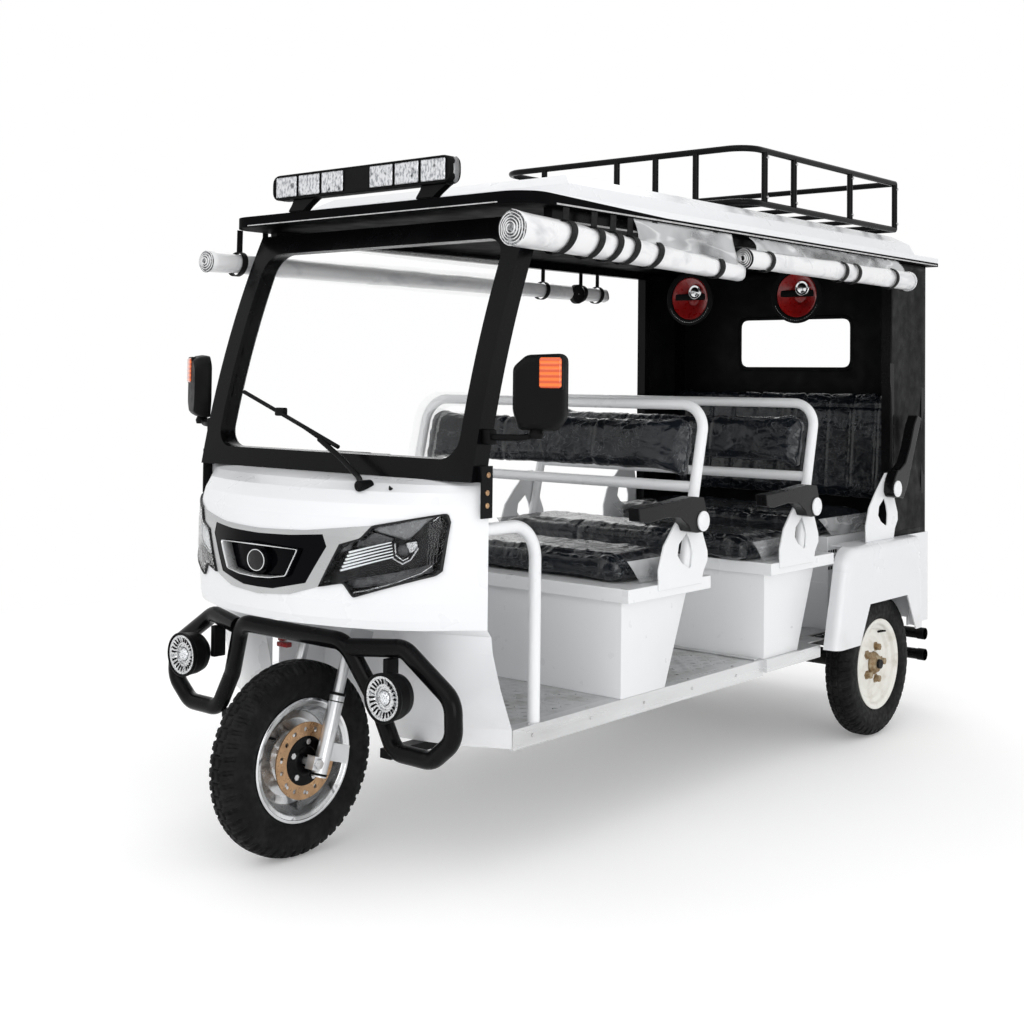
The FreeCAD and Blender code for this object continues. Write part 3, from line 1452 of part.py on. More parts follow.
def armrest(name, pivot, level, side, raised):
    """A moulded armrest with a boss that hangs round its pivot, level at rest or raised."""
    inner = side + z.bracket_plate + z.seat_gap
    boss = z.arm_boss
    low = z.arm_boss * 0.55
    length = z.arm_length
    tall = z.arm_height
    body = start_body("arm_" + name)
    pad(body, "YZ_Plane", [
        (-boss * 1.87, -boss * 0.8), (-boss * 0.9, -boss), (ZERO, -boss),
        (boss * 0.7, -boss * 0.7, boss, ZERO), (boss * 0.7, boss * 0.7), (boss * 0.2, low + tall),
        (-boss * 1.6, low + tall * 1.12), (-length * 0.62, low + tall * 0.86), (-length, low + tall * 0.74),
        (-length * 0.98, low * 1.1), (-length * 0.85, low * 0.7), (-length * 0.57, low * 1.2),
        (-length * 0.36, low), (-boss * 2.2, -boss * 0.3),
    ], inner, inner + z.arm_width)
    bore = rod("arm_bore_" + name, (inner + z.arm_width / 2, 0, 0),
               z.arm_pin + z.pin_clearance, z.arm_width * 2, "x")
    whole = cut("armrest_" + name, body, bore)
    whole.Placement = Placement(Vector(), Rotation(Vector(-1, 0, 0), float(raised)))
    place(whole, ZERO, pivot, level)
    return label(whole, "armrest_" + name)


# Cabin furniture

def grab_hoops():
    """A hoop at each side of the driver, from the floor up and forward to the cowl."""
    rear_edge = FRONT_AXLE + z.sill_front_lead * 0.6 + z.seat_gap
    spots = [
        (z.hoop_offset, FRONT_AXLE + z.hoop_foot_lead, z.floor_top),
        (z.hoop_offset, FRONT_AXLE + z.hoop_foot_lead, z.hoop_top),
        (z.hoop_offset, rear_edge, z.hoop_top),
    ]
    return label(pair("grab_hoops", bent_tube("grab_hoop", spots, z.hoop_tube, z.hoop_bend)), "grab_hoops")


def mirrors():
    """A housing on a bent arm from each side of the windscreen."""
    y = FRONT_AXLE + z.mirror_lead
    low = z.mirror_low
    body = start_body("mirror_housing")
    left = z.mirror_inner + z.mirror_depth / 2
    right = left + z.mirror_width
    pad(body, "XZ_Plane", soft_rectangle(left, right, low, z.mirror_high, z.mirror_depth / 3),
        y - z.mirror_depth / 2, y + z.mirror_depth / 2)
    middle = (left + right) / 2
    root = y - z.screen_frame_depth * 0.8
    arm = bent_tube("mirror_arm_tube", [
        (z.screen_half_width, root, low - z.mirror_arm * 2),
        (z.mirror_inner, root, low - z.mirror_arm * 2),
        (middle, y, low - z.mirror_arm * 2),
        (middle, y, low + z.mirror_arm),
    ], z.mirror_arm, z.mirror_arm * 2)
    return label(pair("mirrors", fuse("mirror", body, arm)), "mirrors")


def speakers():
    """Two round speakers hung from the ceiling in front of the rear seat."""
    level = (z.window_low + z.window_high) / 2 + z.speaker_depth * 2
    y = z.canvas_front - z.speaker_radius
    body = rod("speaker_body", (z.speaker_offset, y, level), z.speaker_radius, z.speaker_depth, "y")
    hanger = block("speaker_hanger", (z.speaker_offset - z.mirror_arm, y - z.mirror_arm, level),
                   (z.speaker_offset + z.mirror_arm, y + z.mirror_arm, z.roof_under))
    return label(pair("speakers", fuse("speaker", body, hanger)), "speakers")


class Roll:
    """A rolled curtain along one side: a slim cone, with tabs from its top up to the roof's edge."""

    def __init__(self, name, side, ends, levels, radii):
        self.name = name
        self.side = side
        self.ends = ends
        self.levels = levels
        self.radii = radii

    def between(self, pair_of_sizes, share):
        first, last = pair_of_sizes
        return first + (last - first) * share

    def solid(self):
        first, last = (point(self.side, y, level) for y, level in zip(self.ends, self.levels))
        way = last.sub(first)
        big, small = (float(radius) for radius in self.radii)
        return plain(self.name, Part.makeCone(big, small, way.Length, first, way))

    def crest(self, share, aside):
        """Level of the roll's skin at a share of its length, a little aside from its axis."""
        radius = float(self.between(self.radii, share))
        return float(self.between(self.levels, share)) + math.sqrt(radius ** 2 - aside ** 2)

    def tab(self, share):
        """A flat tab at the roof's edge, from the underside of the roof to the roll's skin."""
        y = float(self.between(self.ends, share) - z.roll_tab / 2)
        reach = float(z.roll_tab / 2) / abs(float(self.ends[1] - self.ends[0]))
        wall = float(z.sheet_wall)
        start = float(z.roof_half_width) - wall
        side = abs(float(self.side))
        aside = max(0, side - start - wall, start - side)
        low = max(self.crest(share - reach, aside), self.crest(share + reach, aside)) + float(z.seat_gap)
        inner = start if float(self.side) > 0 else -start - wall
        name = "%s_tab_%d" % (self.name, round(share * 10))
        corner = Vector(inner, y, low)
        return plain(name, Part.makeBox(wall, float(z.roll_tab), float(z.roof_under) - low, corner))


def curtain_rolls():
    """The side curtains, rolled up and hung by tabs under the roof's edges."""
    level = z.roll_level
    low = level - z.roll_drop
    big = z.roll_front_radius
    small = z.roll_rear_radius
    rolls = [
        Roll("roll_left_front", z.roll_offset, (-z.roll_front, -z.roll_join), (level, low),
             (big, small * 0.94)),
        Roll("roll_left_rear", z.roll_offset + z.roll_step, (-z.roll_join + z.seat_gap, z.roll_rear),
             (level, level), (small, small * 1.18)),
        Roll("roll_right", -z.roll_offset + z.sheet_wall, (-z.roll_far_front, z.roll_far_rear),
             (level - z.roof_rim_height, level - z.roof_rim_height), (small * 1.1, small)),
    ]
    pieces = []
    for item in rolls:
        pieces.append(item.solid())
        pieces += [item.tab(share) for share in (0.1, 0.5, 0.9)]
    return label(gather("curtain_rolls", *pieces), "curtain_rolls")


# Rear body

def rear_tub():
    """The rear body: side walls, back wall and top flange, open over the wheels."""
    body = start_body("rear_tub_walls")
    half = z.tub_half_width
    wall = z.tub_wall
    front = z.flare_front_top
    back = z.tub_rear
    pad(body, "XY_Plane", [
        (-half, front), (-half + wall, front), (-half + wall, back - wall), (half - wall, back - wall),
        (half - wall, front), (half, front), (half, back), (-half, back),
    ], z.tub_bottom, z.tub_top)
    flange = z.tub_flange
    pad(body, "XY_Plane", [
        (-half, front), (-half + flange, front), (-half + flange, back - flange),
        (half - flange, back - flange),
        (half - flange, front), (half, front), (half, back), (-half, back),
    ], z.tub_top - wall, z.tub_top)
    lean = z.arch_lean
    pocket(body, "YZ_Plane", [
        (z.arch_front - lean, z.tub_bottom - z.overrun), (z.arch_rear + lean, z.tub_bottom - z.overrun),
        (z.arch_rear + lean, z.arch_top), (z.arch_rear, z.flare_top), (z.arch_front, z.flare_top),
        (z.arch_front - lean, z.arch_top),
    ], -half - z.overrun, half + z.overrun)
    flares = pair("flares", flare())
    return label(fuse("rear_tub", body, flares), "rear_tub")


def flare_form(name, draw, past):
    """The flare's outer form, or the hollow that lies inside it by a wall, with its outer edges rounded."""
    body = start_body(name)
    low = z.tub_bottom - past
    top = z.tub_top - draw
    face = z.flare_half_width - draw
    bend = z.flare_front_bend
    pad(body, "YZ_Plane", [
        (z.flare_front_foot + draw * 2, low),
        (bend + draw, z.flare_top, bend * 0.7 + z.flare_front_top * 0.3 + draw, top * 0.75 + z.flare_top * 0.25),
        (z.flare_front_top + draw, top), (z.flare_rear - draw, top),
        (z.flare_rear + z.arch_lean / 2 - draw, low),
    ], z.tub_half_width - past, face)
    rounded(body, z.flare_round - draw,
            lambda edge: edge.BoundBox.XMin > float(face) - 0.01 and edge.BoundBox.ZMax > float(low) + 0.01)
    return body


def flare():
    """The wheel flare: a rounded skin that stands out from the tub over the rear wheel, cut open for it."""
    shell = cut("flare_shell", flare_form("flare_outer", ZERO, ZERO),
                flare_form("flare_hollow", z.tub_wall, z.overrun))
    body = start_body("flare_arch")
    low = z.tub_bottom - z.overrun
    lean = z.flare_arch_lean
    pad(body, "YZ_Plane", [
        (z.flare_arch_front, low), (z.flare_arch_rear, low), (z.flare_arch_rear - lean, z.flare_arch_top),
        (z.flare_arch_front + lean, z.flare_arch_top),
    ], z.tub_half_width - z.overrun, z.flare_half_width + z.overrun)
    return cut("flare_skin", shell, body)


def tail_lamps():
    """A lamp at each rear corner of the tub."""
    half = z.tub_half_width
    lamp = block("tail_lamp", (half - z.sill_height * 2, z.tub_rear, z.flare_top - z.sill_height * 1.5),
                 (half - z.sill_height, z.tub_rear + z.sheet_wall * 5, z.flare_top))
    return label(pair("tail_lamps", lamp), "tail_lamps")


def build():
    """Make every sub-part."""
    tyre("front_tyre", ZERO, FRONT_AXLE)
    rim("front_rim", ZERO, FRONT_AXLE, z.front_hub_half_width, -1)
    brake_disc()
    front_fork()
    handlebar()
    for name, side in (("left", 1), ("right", -1)):
        tyre("rear_tyre_" + name, z.rear_track_half_width * side, REAR_AXLE)
        rim("rear_rim_" + name, z.rear_track_half_width * side, REAR_AXLE, z.rear_hub_half_width, side)
    chassis_frame()
    steering_head()
    floor_deck()
    side_sills()
    wheel_well()
    rear_axle()
    leaf_springs()
    battery_pack()
    rear_bumper()
    front_cowl()
    headlamps()
    nose_trim()
    grille()
    bumper_guard()
    fog_lamps()
    windscreen_frame()
    windscreen_glass()
    wiper()
    dashboard()
    roof_rim()
    roof_crown()
    roof_rails()
    roof_posts()
    rear_canvas()
    rear_window()
    roof_rack()
    light_bar()
    seat_box("seat_box_front", ZERO, z.seat_box_front, z.sill_half_width)
    seat_box("seat_box_middle", z.middle_box_shift, z.seat_box_front, z.sill_half_width)
    rear_seat_box()
    top = z.seat_box_top + z.seat_ledge
    cushion("seat_cushion_front", -z.cushion_front, z.cushion_depth, top, z.cushion_half_width,
            z.cushion_thickness)
    cushion("seat_cushion_middle", z.row_pitch - z.cushion_front, z.cushion_depth, top, z.cushion_half_width,
            z.cushion_thickness)
    cushion("seat_cushion_rear", z.rear_cushion_front, z.cushion_rear_depth, z.rear_cushion_level,
            REAR_BOX_HALF, z.cushion_thickness)
    label(gather("seat_back_frames", seat_back_frame("back_frame_front", ZERO),
                 seat_back_frame("back_frame_middle", z.row_pitch)), "seat_back_frames")
    back_pad("seat_back_front", ZERO)
    back_pad("seat_back_middle", z.row_pitch)
    rear_back_pad()
    armrest_brackets()
    for name, pivot, level, side, _ in arm_places():
        armrest(name, pivot, level, side, z.rear_arm_raise_angle if name == "rear" else ZERO)
    grab_hoops()
    mirrors()
    speakers()
    curtain_rolls()
    rear_tub()
    tail_lamps()


def check_and_write():
    """Stop on a failed object or an invalid shape, then write one file for each sub-part."""
    doc.recompute()
    for item in doc.Objects:
        if "Invalid" in item.State or "Error" in item.State:
            raise RuntimeError("%s failed: %s" % (item.Name, item.State))
    faulty = [item.Label for item in PARTS
              if item.Shape.isNull() or not item.Shape.isValid() or not item.Shape.Solids]
    if faulty:
        raise RuntimeError("no valid solid: " + ", ".join(faulty))
    os.makedirs("parts", exist_ok=True)
    for item in PARTS:
        item.Shape.exportStep("parts/" + item.Label + ".step")


build()
check_and_write()
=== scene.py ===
"""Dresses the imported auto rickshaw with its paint, chrome, padding, tread and lamps, and sets up a studio.

Metres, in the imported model's frame: +Z up, the nose towards -Y, the vehicle's left side towards +X.
"""
import math

import bmesh
import bpy
import numpy as np
from bpy.props import FloatProperty, FloatVectorProperty, IntProperty, PointerProperty
from bpy.types import Operator, Panel, PropertyGroup
from mathutils import Matrix, Vector


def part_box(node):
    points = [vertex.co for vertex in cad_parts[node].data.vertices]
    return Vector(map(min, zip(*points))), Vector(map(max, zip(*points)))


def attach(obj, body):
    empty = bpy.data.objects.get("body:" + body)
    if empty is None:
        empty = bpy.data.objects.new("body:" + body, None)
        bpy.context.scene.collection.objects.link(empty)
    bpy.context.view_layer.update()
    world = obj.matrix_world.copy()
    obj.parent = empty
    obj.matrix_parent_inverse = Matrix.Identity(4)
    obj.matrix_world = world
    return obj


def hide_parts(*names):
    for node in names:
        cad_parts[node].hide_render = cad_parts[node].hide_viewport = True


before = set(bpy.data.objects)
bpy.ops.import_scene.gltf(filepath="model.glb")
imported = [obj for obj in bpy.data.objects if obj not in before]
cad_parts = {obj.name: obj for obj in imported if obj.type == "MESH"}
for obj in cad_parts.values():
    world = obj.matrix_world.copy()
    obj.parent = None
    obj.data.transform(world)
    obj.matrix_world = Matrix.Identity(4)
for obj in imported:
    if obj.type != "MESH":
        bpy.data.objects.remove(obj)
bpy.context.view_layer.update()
TAU = 2 * math.pi

bl_info = {
    "name": "Auto Rickshaw Dressing",
    "version": (1, 0, 0),
    "blender": (4, 5, 0),
    "location": "3D View > Sidebar > Rickshaw",
    "description": "Builds the finishes, soft pieces and fine parts of a three-row auto rickshaw around its frame",
    "category": "Object",
}


# Sizes and colours

def length(name, words, default, low=0.0, high=5.0):
    return FloatProperty(name=name, description=words, default=default, min=low, max=high, unit="LENGTH", precision=4)


def colour(name, words, default):
    return FloatVectorProperty(name=name, description=words, default=default, min=0, max=1, size=3, subtype="COLOR")


class RickshawColours(PropertyGroup):
    """Base colours of the finishes."""
    white: colour("White", "Gloss white of the nose, seat boxes and rear body", (0.8, 0.81, 0.825))
    black: colour("Black", "Gloss black of the tubes, rack and posts", (0.0025, 0.0025, 0.003))
    plastic: colour("Plastic", "Grained black of the mirrors and armrests", (0.0035, 0.0035, 0.004))
    leather: colour("Leather", "Dark cover of the seats", (0.0045, 0.0058, 0.0075))
    rim: colour("Rear rim", "Cream paint of the rear rims", (0.8, 0.79, 0.74))
    disc: colour("Brake disc", "Coppery steel of the brake disc", (0.47, 0.29, 0.155))
    caliper: colour("Caliper", "Pale gold of the brake caliper", (0.72, 0.6, 0.42))
    amber: colour("Amber", "Lens of the mirror's marker lamp", (0.95, 0.17, 0.01))
    cone: colour("Speaker cone", "Red cone of the speakers", (0.32, 0.008, 0.008))
    floor: colour("Studio floor", "Pale floor under the vehicle", (0.93, 0.93, 0.93))


class WheelSizes(PropertyGroup):
    """Sizes of the tread and the wheel bolts."""
    lugs: IntProperty(name="Lugs", description="Shoulder lugs round the tyre", default=46, min=8, max=90)
    groove: length("Groove", "Depth of the tread", 0.0065)
    bolt: length("Bolt", "Half width of a wheel bolt's head", 0.0085)


class SeatSizes(PropertyGroup):
    """How the padding swells and how its clear cover creases."""
    shrink: length("Shrink", "Inset of the padding before it swells", 0.013)
    swell: length("Swell", "Furthest that the padding may bulge", 0.017)
    crease: length("Crease", "Height of the cover's creases", 0.0028)
    voxel: length("Voxel", "Edge of the padding's mesh before it swells", 0.0125, 0.004)


class StudioSizes(PropertyGroup):
    """Light levels of the studio."""
    key: FloatProperty(name="Key", description="Power of the large lamp ahead", default=72, min=0, unit="POWER")
    fill: FloatProperty(name="Fill", description="Power of the lamp at the side", default=90, min=0, unit="POWER")
    sky: FloatProperty(name="Sky", description="Strength of the even light all round", default=0.93, min=0)


# Shapes on grids

AXES = {"x": (0, 1, 2), "y": (1, 2, 0), "z": (2, 0, 1)}


def grid_faces(rows, columns, round_rows=False, round_columns=False):
    """Quads of a grid: each joins points (i, j), (i, j + 1), (i + 1, j + 1) and (i + 1, j)."""
    i, j = np.meshgrid(np.arange(rows if round_rows else rows - 1),
                       np.arange(columns if round_columns else columns - 1), indexing="ij")
    next_i, next_j = (i + 1) % rows, (j + 1) % columns
    corners = [i * columns + j, i * columns + next_j, next_i * columns + next_j, next_i * columns + j]
    return np.stack(corners, -1).reshape(-1, 4).tolist()


def sheet(points):
    """An open patch from a grid of points."""
    return points, grid_faces(*points.shape[:2])


def tube(points, capped=True):
    """A patch from rings of points, with a many-sided face over each end unless it stays open."""
    rows, columns = points.shape[:2]
    ends = [list(range(columns)), list(range((rows - 1) * columns, rows * columns))]
    return points, grid_faces(rows, columns, False, True) + (ends if capped else [])


def soft_corners(corners, reach, steps=5, closed=True):
    """Corners rounded by a parabola: (1-t)^2 A + 2t(1-t) P + t^2 B, A and B lying `reach` before and after P."""
    spots = np.asarray(corners, float)
    middle = spots if closed else spots[1:-1]
    before = np.roll(spots, 1, 0) if closed else spots[:-2]
    after = np.roll(spots, -1, 0) if closed else spots[2:]
    t = np.linspace(0, 1, steps)[None, :, None]

    def toward(other):
        way = other - middle
        size = np.linalg.norm(way, axis=1, keepdims=True)
        return (middle + way * np.minimum(reach / np.maximum(size, 1e-9), 0.48))[:, None]

    curve = (1 - t) ** 2 * toward(before) + 2 * t * (1 - t) * middle[:, None] + t ** 2 * toward(after)
    curve = curve.reshape(-1, spots.shape[1])
    return curve if closed else np.concatenate([spots[:1], curve, spots[-1:]])


def lathe(profile, centre, axis="x", turns=96, soft=0, steps=5):
    """A profile of (along, radius) turned about an axis: P = centre + along A + radius (cos a B + sin a C)."""
    profile = soft_corners(profile, soft, steps) if soft else np.asarray(profile, float)
    angle = np.linspace(0, TAU, turns, endpoint=False)[:, None]
    first, second, third = AXES[axis]
    points = np.empty((turns, len(profile), 3))
    points[..., first] = profile[:, 0]
    points[..., second] = np.cos(angle) * profile[:, 1]
    points[..., third] = np.sin(angle) * profile[:, 1]
    return points + np.asarray(centre), grid_faces(turns, len(profile), True, True)


def pipe(path, radius, sides=14, ring=False):
    """A round tube along a path: P = path + radius (cos a N + sin a B), N and B square to the path."""
    path = np.asarray(path, float)
    ahead = np.roll(path, -1, 0) - np.roll(path, 1, 0) if ring else np.gradient(path, axis=0)
    ahead /= np.linalg.norm(ahead, axis=1, keepdims=True)
    side = np.cross(ahead, np.eye(3)[np.argmin(np.abs(ahead).max(0))])
    side /= np.linalg.norm(side, axis=1, keepdims=True)
    other = np.cross(ahead, side)
    angle = np.linspace(0, TAU, sides, endpoint=False)[None, :, None]
    radius = np.broadcast_to(radius, len(path))[:, None, None]
    points = path[:, None] + radius * (np.cos(angle) * side[:, None] + np.sin(angle) * other[:, None])
    return (points, grid_faces(len(path), sides, True, True)) if ring else tube(points)


def block(low, high, radius, steps=5):
    """A block with round edges: P = corner(sign) + radius (cos v cos u, cos v sin u, sin v)."""
    low, high = np.asarray(low, float), np.asarray(high, float)
    quarter = np.linspace(0, TAU / 4, steps)
    u = np.concatenate([quarter + k * TAU / 4 for k in range(4)])
    v = np.concatenate([quarter - TAU / 4, quarter])[:, None]
    turn = np.repeat((np.arange(4) + 0.5) * TAU / 4, steps)
    half = (high - low) / 2 - radius
    x = np.sign(np.cos(turn)) * half[0] + radius * np.cos(v) * np.cos(u)
    y = np.sign(np.sin(turn)) * half[1] + radius * np.cos(v) * np.sin(u)
    up = np.repeat([-1, 1], steps)[:, None] * half[2] + radius * np.sin(v) + 0 * u
    return tube(np.stack([x, y, up], -1) + (low + high) / 2)


def prism(outline, low, high, axis="x"):
    """A flat outline carried straight along an axis between two stations."""
    outline = np.asarray(outline, float)
    first, second, third = AXES[axis]
    points = np.empty((2, len(outline), 3))
    points[0, :, first], points[1, :, first] = low, high
    points[..., second], points[..., third] = outline[:, 0], outline[:, 1]
    return tube(points)


def rings(outline, stations):
    """A closed tube of copies of an (x, z) outline, each set at its own y."""
    rows = [np.stack([spots[:, 0], np.full(len(outline), y), spots[:, 1]], 1) for y, spots in stations]
    return tube(np.stack(rows))


def hexagon(half):
    """Corners of a hexagon: P = half (cos a, sin a)."""
    angle = np.arange(6) * TAU / 6
    return np.stack([np.cos(angle), np.sin(angle)], 1) * half


def moved(patch, shift):
    return patch[0] + np.asarray(shift), *patch[1:]


def mirrored(patch):
    """The same patch on the vehicle's other side."""
    return patch[0] * (-1, 1, 1), *patch[1:]


def bolts(circle_radius, count, centre, half, height, axis="x", start=0.0):
    """Hexagon heads set on a circle."""
    heads = []
    for spot in np.arange(count) * TAU / count + start:
        place = np.array(centre, float)
        place[list(AXES[axis][1:])] += circle_radius * math.cos(spot), circle_radius * math.sin(spot)
        heads.append(moved(prism(hexagon(half), 0, height, axis), place))
    return heads


def lattice_noise(points, size, seed):
    """Soft noise from 0 to 1: random values on a lattice of this size, blended by 3t^2 - 2t^3 between its corners."""
    values = np.random.default_rng(seed).random((32, 32, 32))
    scaled = np.asarray(points, float) / size
    base = np.floor(scaled).astype(int)
    part = scaled - base
    part = part * part * (3 - 2 * part)
    total = np.zeros(scaled.shape[:-1])
    for corner in np.ndindex(2, 2, 2):
        weight = np.prod(np.where(np.array(corner) == 1, part, 1 - part), axis=-1)
        index = (base + corner) % 32
        total += weight * values[index[..., 0], index[..., 1], index[..., 2]]
    return total


def creases(points, size, stretch, seed):
    """Sharp ridges where soft noise crosses its middle: (1 - |2n - 1|)^6, bent by slower noise."""
    bend = np.stack([lattice_noise(points, size * 2.3, seed + k) for k in (1, 2, 3)], -1) - 0.5
    ridge = lattice_noise((points + bend * size * 1.6) / np.asarray(stretch), size, seed)
    return (1 - np.abs(2 * ridge - 1)) ** 6


# Pieces

def cleaned(mesh, merge, flat=None):
    """Merge doubled points, join faces that lie flat together if asked, and turn the normals outwards."""
    work = bmesh.new()
    work.from_mesh(mesh)
    bmesh.ops.remove_doubles(work, verts=work.verts, dist=merge)
    if flat:
        bmesh.ops.dissolve_limit(work, angle_limit=flat, verts=work.verts, edges=work.edges)
    bmesh.ops.recalc_face_normals(work, faces=work.faces)
    work.to_mesh(mesh)
    work.free()
    return mesh


def piece(name, patches, looks, body="body", **rest):
    """One piece from patches of (points, faces) or (points, faces, number of the finish)."""
    mesh = bpy.data.meshes.new(name)
    spots, faces, numbers, start = [], [], [], 0
    for points, quads, *number in patches:
        points = points.reshape(-1, 3)
        spots.append(points)
        faces += [[corner + start for corner in face] for face in quads]
        numbers += (number or [0]) * len(quads)
        start += len(points)
    mesh.from_pydata(np.concatenate(spots).tolist(), [], faces)
    mesh.polygons.foreach_set("material_index", numbers)
    return dress(bpy.data.objects.new(name, cleaned(mesh, 1e-6)), looks, body, **rest)


def dress(thing, looks, body="body", slot=None, node=None, sharp=38, wall=0):
    """Give an object its finishes, body, the CAD node that it stands for and its sheet's thickness; the slot is not
    used.
    """
    looks = [looks] if isinstance(looks, str) else looks
    for look in looks:
        thing.data.materials.append(finish(look))
    thing.data.shade_smooth()
    thing.data.set_sharp_from_angle(angle=math.radians(sharp))
    if thing.name not in bpy.context.scene.collection.objects:
        bpy.context.scene.collection.objects.link(thing)
    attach(thing, body)
    if node:
        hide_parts(node)
    if wall:
        solid = thing.modifiers.new("wall", "SOLIDIFY")
        solid.thickness, solid.offset = wall, 0
    return thing


def pair(name, patches, looks, node=None, **rest):
    """A piece on the left, which stands for the node, and its mirror image on the right."""
    piece(name + "_left", patches, looks, node=node, **rest)
    piece(name + "_right", [mirrored(patch) for patch in patches], looks, **rest)


def span(node):
    """Lowest and highest corner of a CAD node as arrays."""
    low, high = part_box(node)
    return np.array(low), np.array(high)


def copied(node, name):
    """A new object from a CAD node's mesh, without its materials."""
    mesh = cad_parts[node].data.copy()
    mesh.materials.clear()
    return bpy.data.objects.new(name, mesh)


def softened_copy(node, name, look, width, body="body", segments=2):
    """A CAD node's shape with its long edges rounded: merged, its flat faces joined, then bevelled."""
    thing = copied(node, name)
    cleaned(thing.data, 1e-5, math.radians(1))
    dress(thing, look, body, node=node, sharp=50)
    bevel = thing.modifiers.new("edges", "BEVEL")
    bevel.width, bevel.segments = width, segments
    bevel.limit_method, bevel.angle_limit = "ANGLE", math.radians(35)
    bevel.harden_normals = False


def frozen(thing):
    """The piece with its modifiers applied to its mesh."""
    bpy.context.view_layer.update()
    made = thing.evaluated_get(bpy.context.evaluated_depsgraph_get())
    mesh = bpy.data.meshes.new_from_object(made)
    thing.modifiers.clear()
    old = thing.data
    thing.data = mesh
    bpy.data.meshes.remove(old)
    return thing


# Finishes made of nodes

SOCKETS = {"specular": "Specular IOR Level", "coat": "Coat Weight", "coat_rough": "Coat Roughness",
           "metal": "Metallic", "clear": "Transmission Weight", "ior": "IOR", "alpha": "Alpha",
           "glow": "Emission Strength"}


class Finish:
    """One finish: a shader whose colour, roughness and bump come from textures on Object coordinates."""

    def __init__(self, name, base, roughness, **sockets):
        self.material = bpy.data.materials.new(name)
        self.material.use_nodes = True
        self.tree = self.material.node_tree
        self.shader = self.tree.nodes["Principled BSDF"]
        if isinstance(base, str):
            base = getattr(bpy.context.scene.rickshaw_colours, base)
        self.base = (*base, 1.0)
        self.shader.inputs["Base Color"].default_value = self.base
        self.shader.inputs["Roughness"].default_value = roughness
        for socket, value in sockets.items():
            self.shader.inputs[SOCKETS[socket]].default_value = value
        self.place = self.node("TexCoord").outputs["Object"]
        self.height = None

    def node(self, kind, inputs=(), **settings):
        """A shader node, each of whose inputs takes a value or another node's output."""
        made = self.tree.nodes.new("ShaderNode" + kind)
        for setting, value in settings.items():
            setattr(made, setting, value)
        for socket, value in dict(inputs).items():
            if isinstance(value, bpy.types.NodeSocket):
                self.tree.links.new(value, made.inputs[socket])
            else:
                made.inputs[socket].default_value = value
        return made

    def drive(self, socket, source):
        self.tree.links.new(source, self.shader.inputs[socket])
        return self

    def texture(self, kind, stretch, output="Fac", inputs=(), **settings):
        """A texture on stretched Object coordinates."""
        mapping = self.node("Mapping", {"Vector": self.place, "Scale": stretch})
        inputs = {"Vector": mapping.outputs["Vector"], **dict(inputs)}
        return self.node(kind, inputs, **settings).outputs[output]

    def noise(self, scale, detail=3.0, stretch=(1, 1, 1), warp=0.0):
        """Cloudy noise from 0 to 1, `scale` lumps to the metre."""
        return self.texture("TexNoise", stretch, inputs={"Scale": scale, "Detail": detail, "Distortion": warp})

    def cells(self, scale):
        """Distance to the edges of random cells, `scale` cells to the metre."""
        return self.texture("TexVoronoi", (1, 1, 1), "Distance", {"Scale": scale}, feature="DISTANCE_TO_EDGE")

    def waves(self, scale, direction):
        """Even bands, `scale` of them to about a third of a metre."""
        return self.texture("TexWave", (1, 1, 1), inputs={"Scale": scale}, bands_direction=direction)

    def ranged(self, factor, low, high, start=0.0, stop=1.0):
        """The factor's stretch from low to high, carried to start and stop."""
        return self.node("MapRange", {"Value": factor, "From Min": low, "From Max": high, "To Min": start,
                                      "To Max": stop}).outputs["Result"]

    def maths(self, operation, *values):
        return self.node("Math", enumerate(values), operation=operation).outputs["Value"]

    def product(self, first, second):
        return self.maths("MULTIPLY", first, second)

    def lines(self, factor, width):
        """Soft thin lines where the factor crosses one half."""
        return self.ranged(self.maths("ABSOLUTE", self.maths("SUBTRACT", factor, 0.5)), 0, width, 1, 0)

    def along(self, axis):
        """One of the Object coordinates."""
        return self.node("SeparateXYZ", {"Vector": self.place}).outputs[axis]

    def tint(self, factor, tone):
        """Mix the colour so far with another one."""
        mix = self.node("Mix", {0: factor, 6: self.base, 7: (*tone, 1.0)}, data_type="RGBA")
        self.base = mix.outputs[2]
        return self.drive("Base Color", self.base)

    def rough(self, factor, low, high):
        return self.drive("Roughness", self.ranged(factor, 0.3, 0.7, low, high))

    def bump(self, factor, distance, strength):
        """Raise the surface by up to a distance in metres where the factor is 1."""
        inputs = {"Height": factor, "Distance": distance, "Strength": strength}
        if self.height:
            inputs["Normal"] = self.height
        self.height = self.node("Bump", inputs).outputs["Normal"]
        return self.drive("Normal", self.height)

    def drawn(self, texture):
        """A texture from its numbers: noise, unless they follow another pattern's name."""
        kind, *numbers = texture if isinstance(texture[0], str) else ("noise", *texture)
        return getattr(self, kind)(*numbers)


def white_paint():
    """Gloss white with a faint waviness, and a little road dust low down."""
    paint = Finish("white_paint", "white", 0.3, coat=0.25, coat_rough=0.15)
    dust = paint.product(paint.noise(9, 5), paint.ranged(paint.along("Z"), 0.62, 0.34))
    return (paint.tint(paint.ranged(paint.noise(1.3, 0), 0.3, 0.8), (0.77, 0.78, 0.8))
            .tint(paint.ranged(dust, 0.3, 0.9, 0, 0.5), (0.55, 0.53, 0.5))
            .rough(paint.noise(6, 4), 0.24, 0.38).bump(paint.noise(26, 2), 0.0003, 0.3))


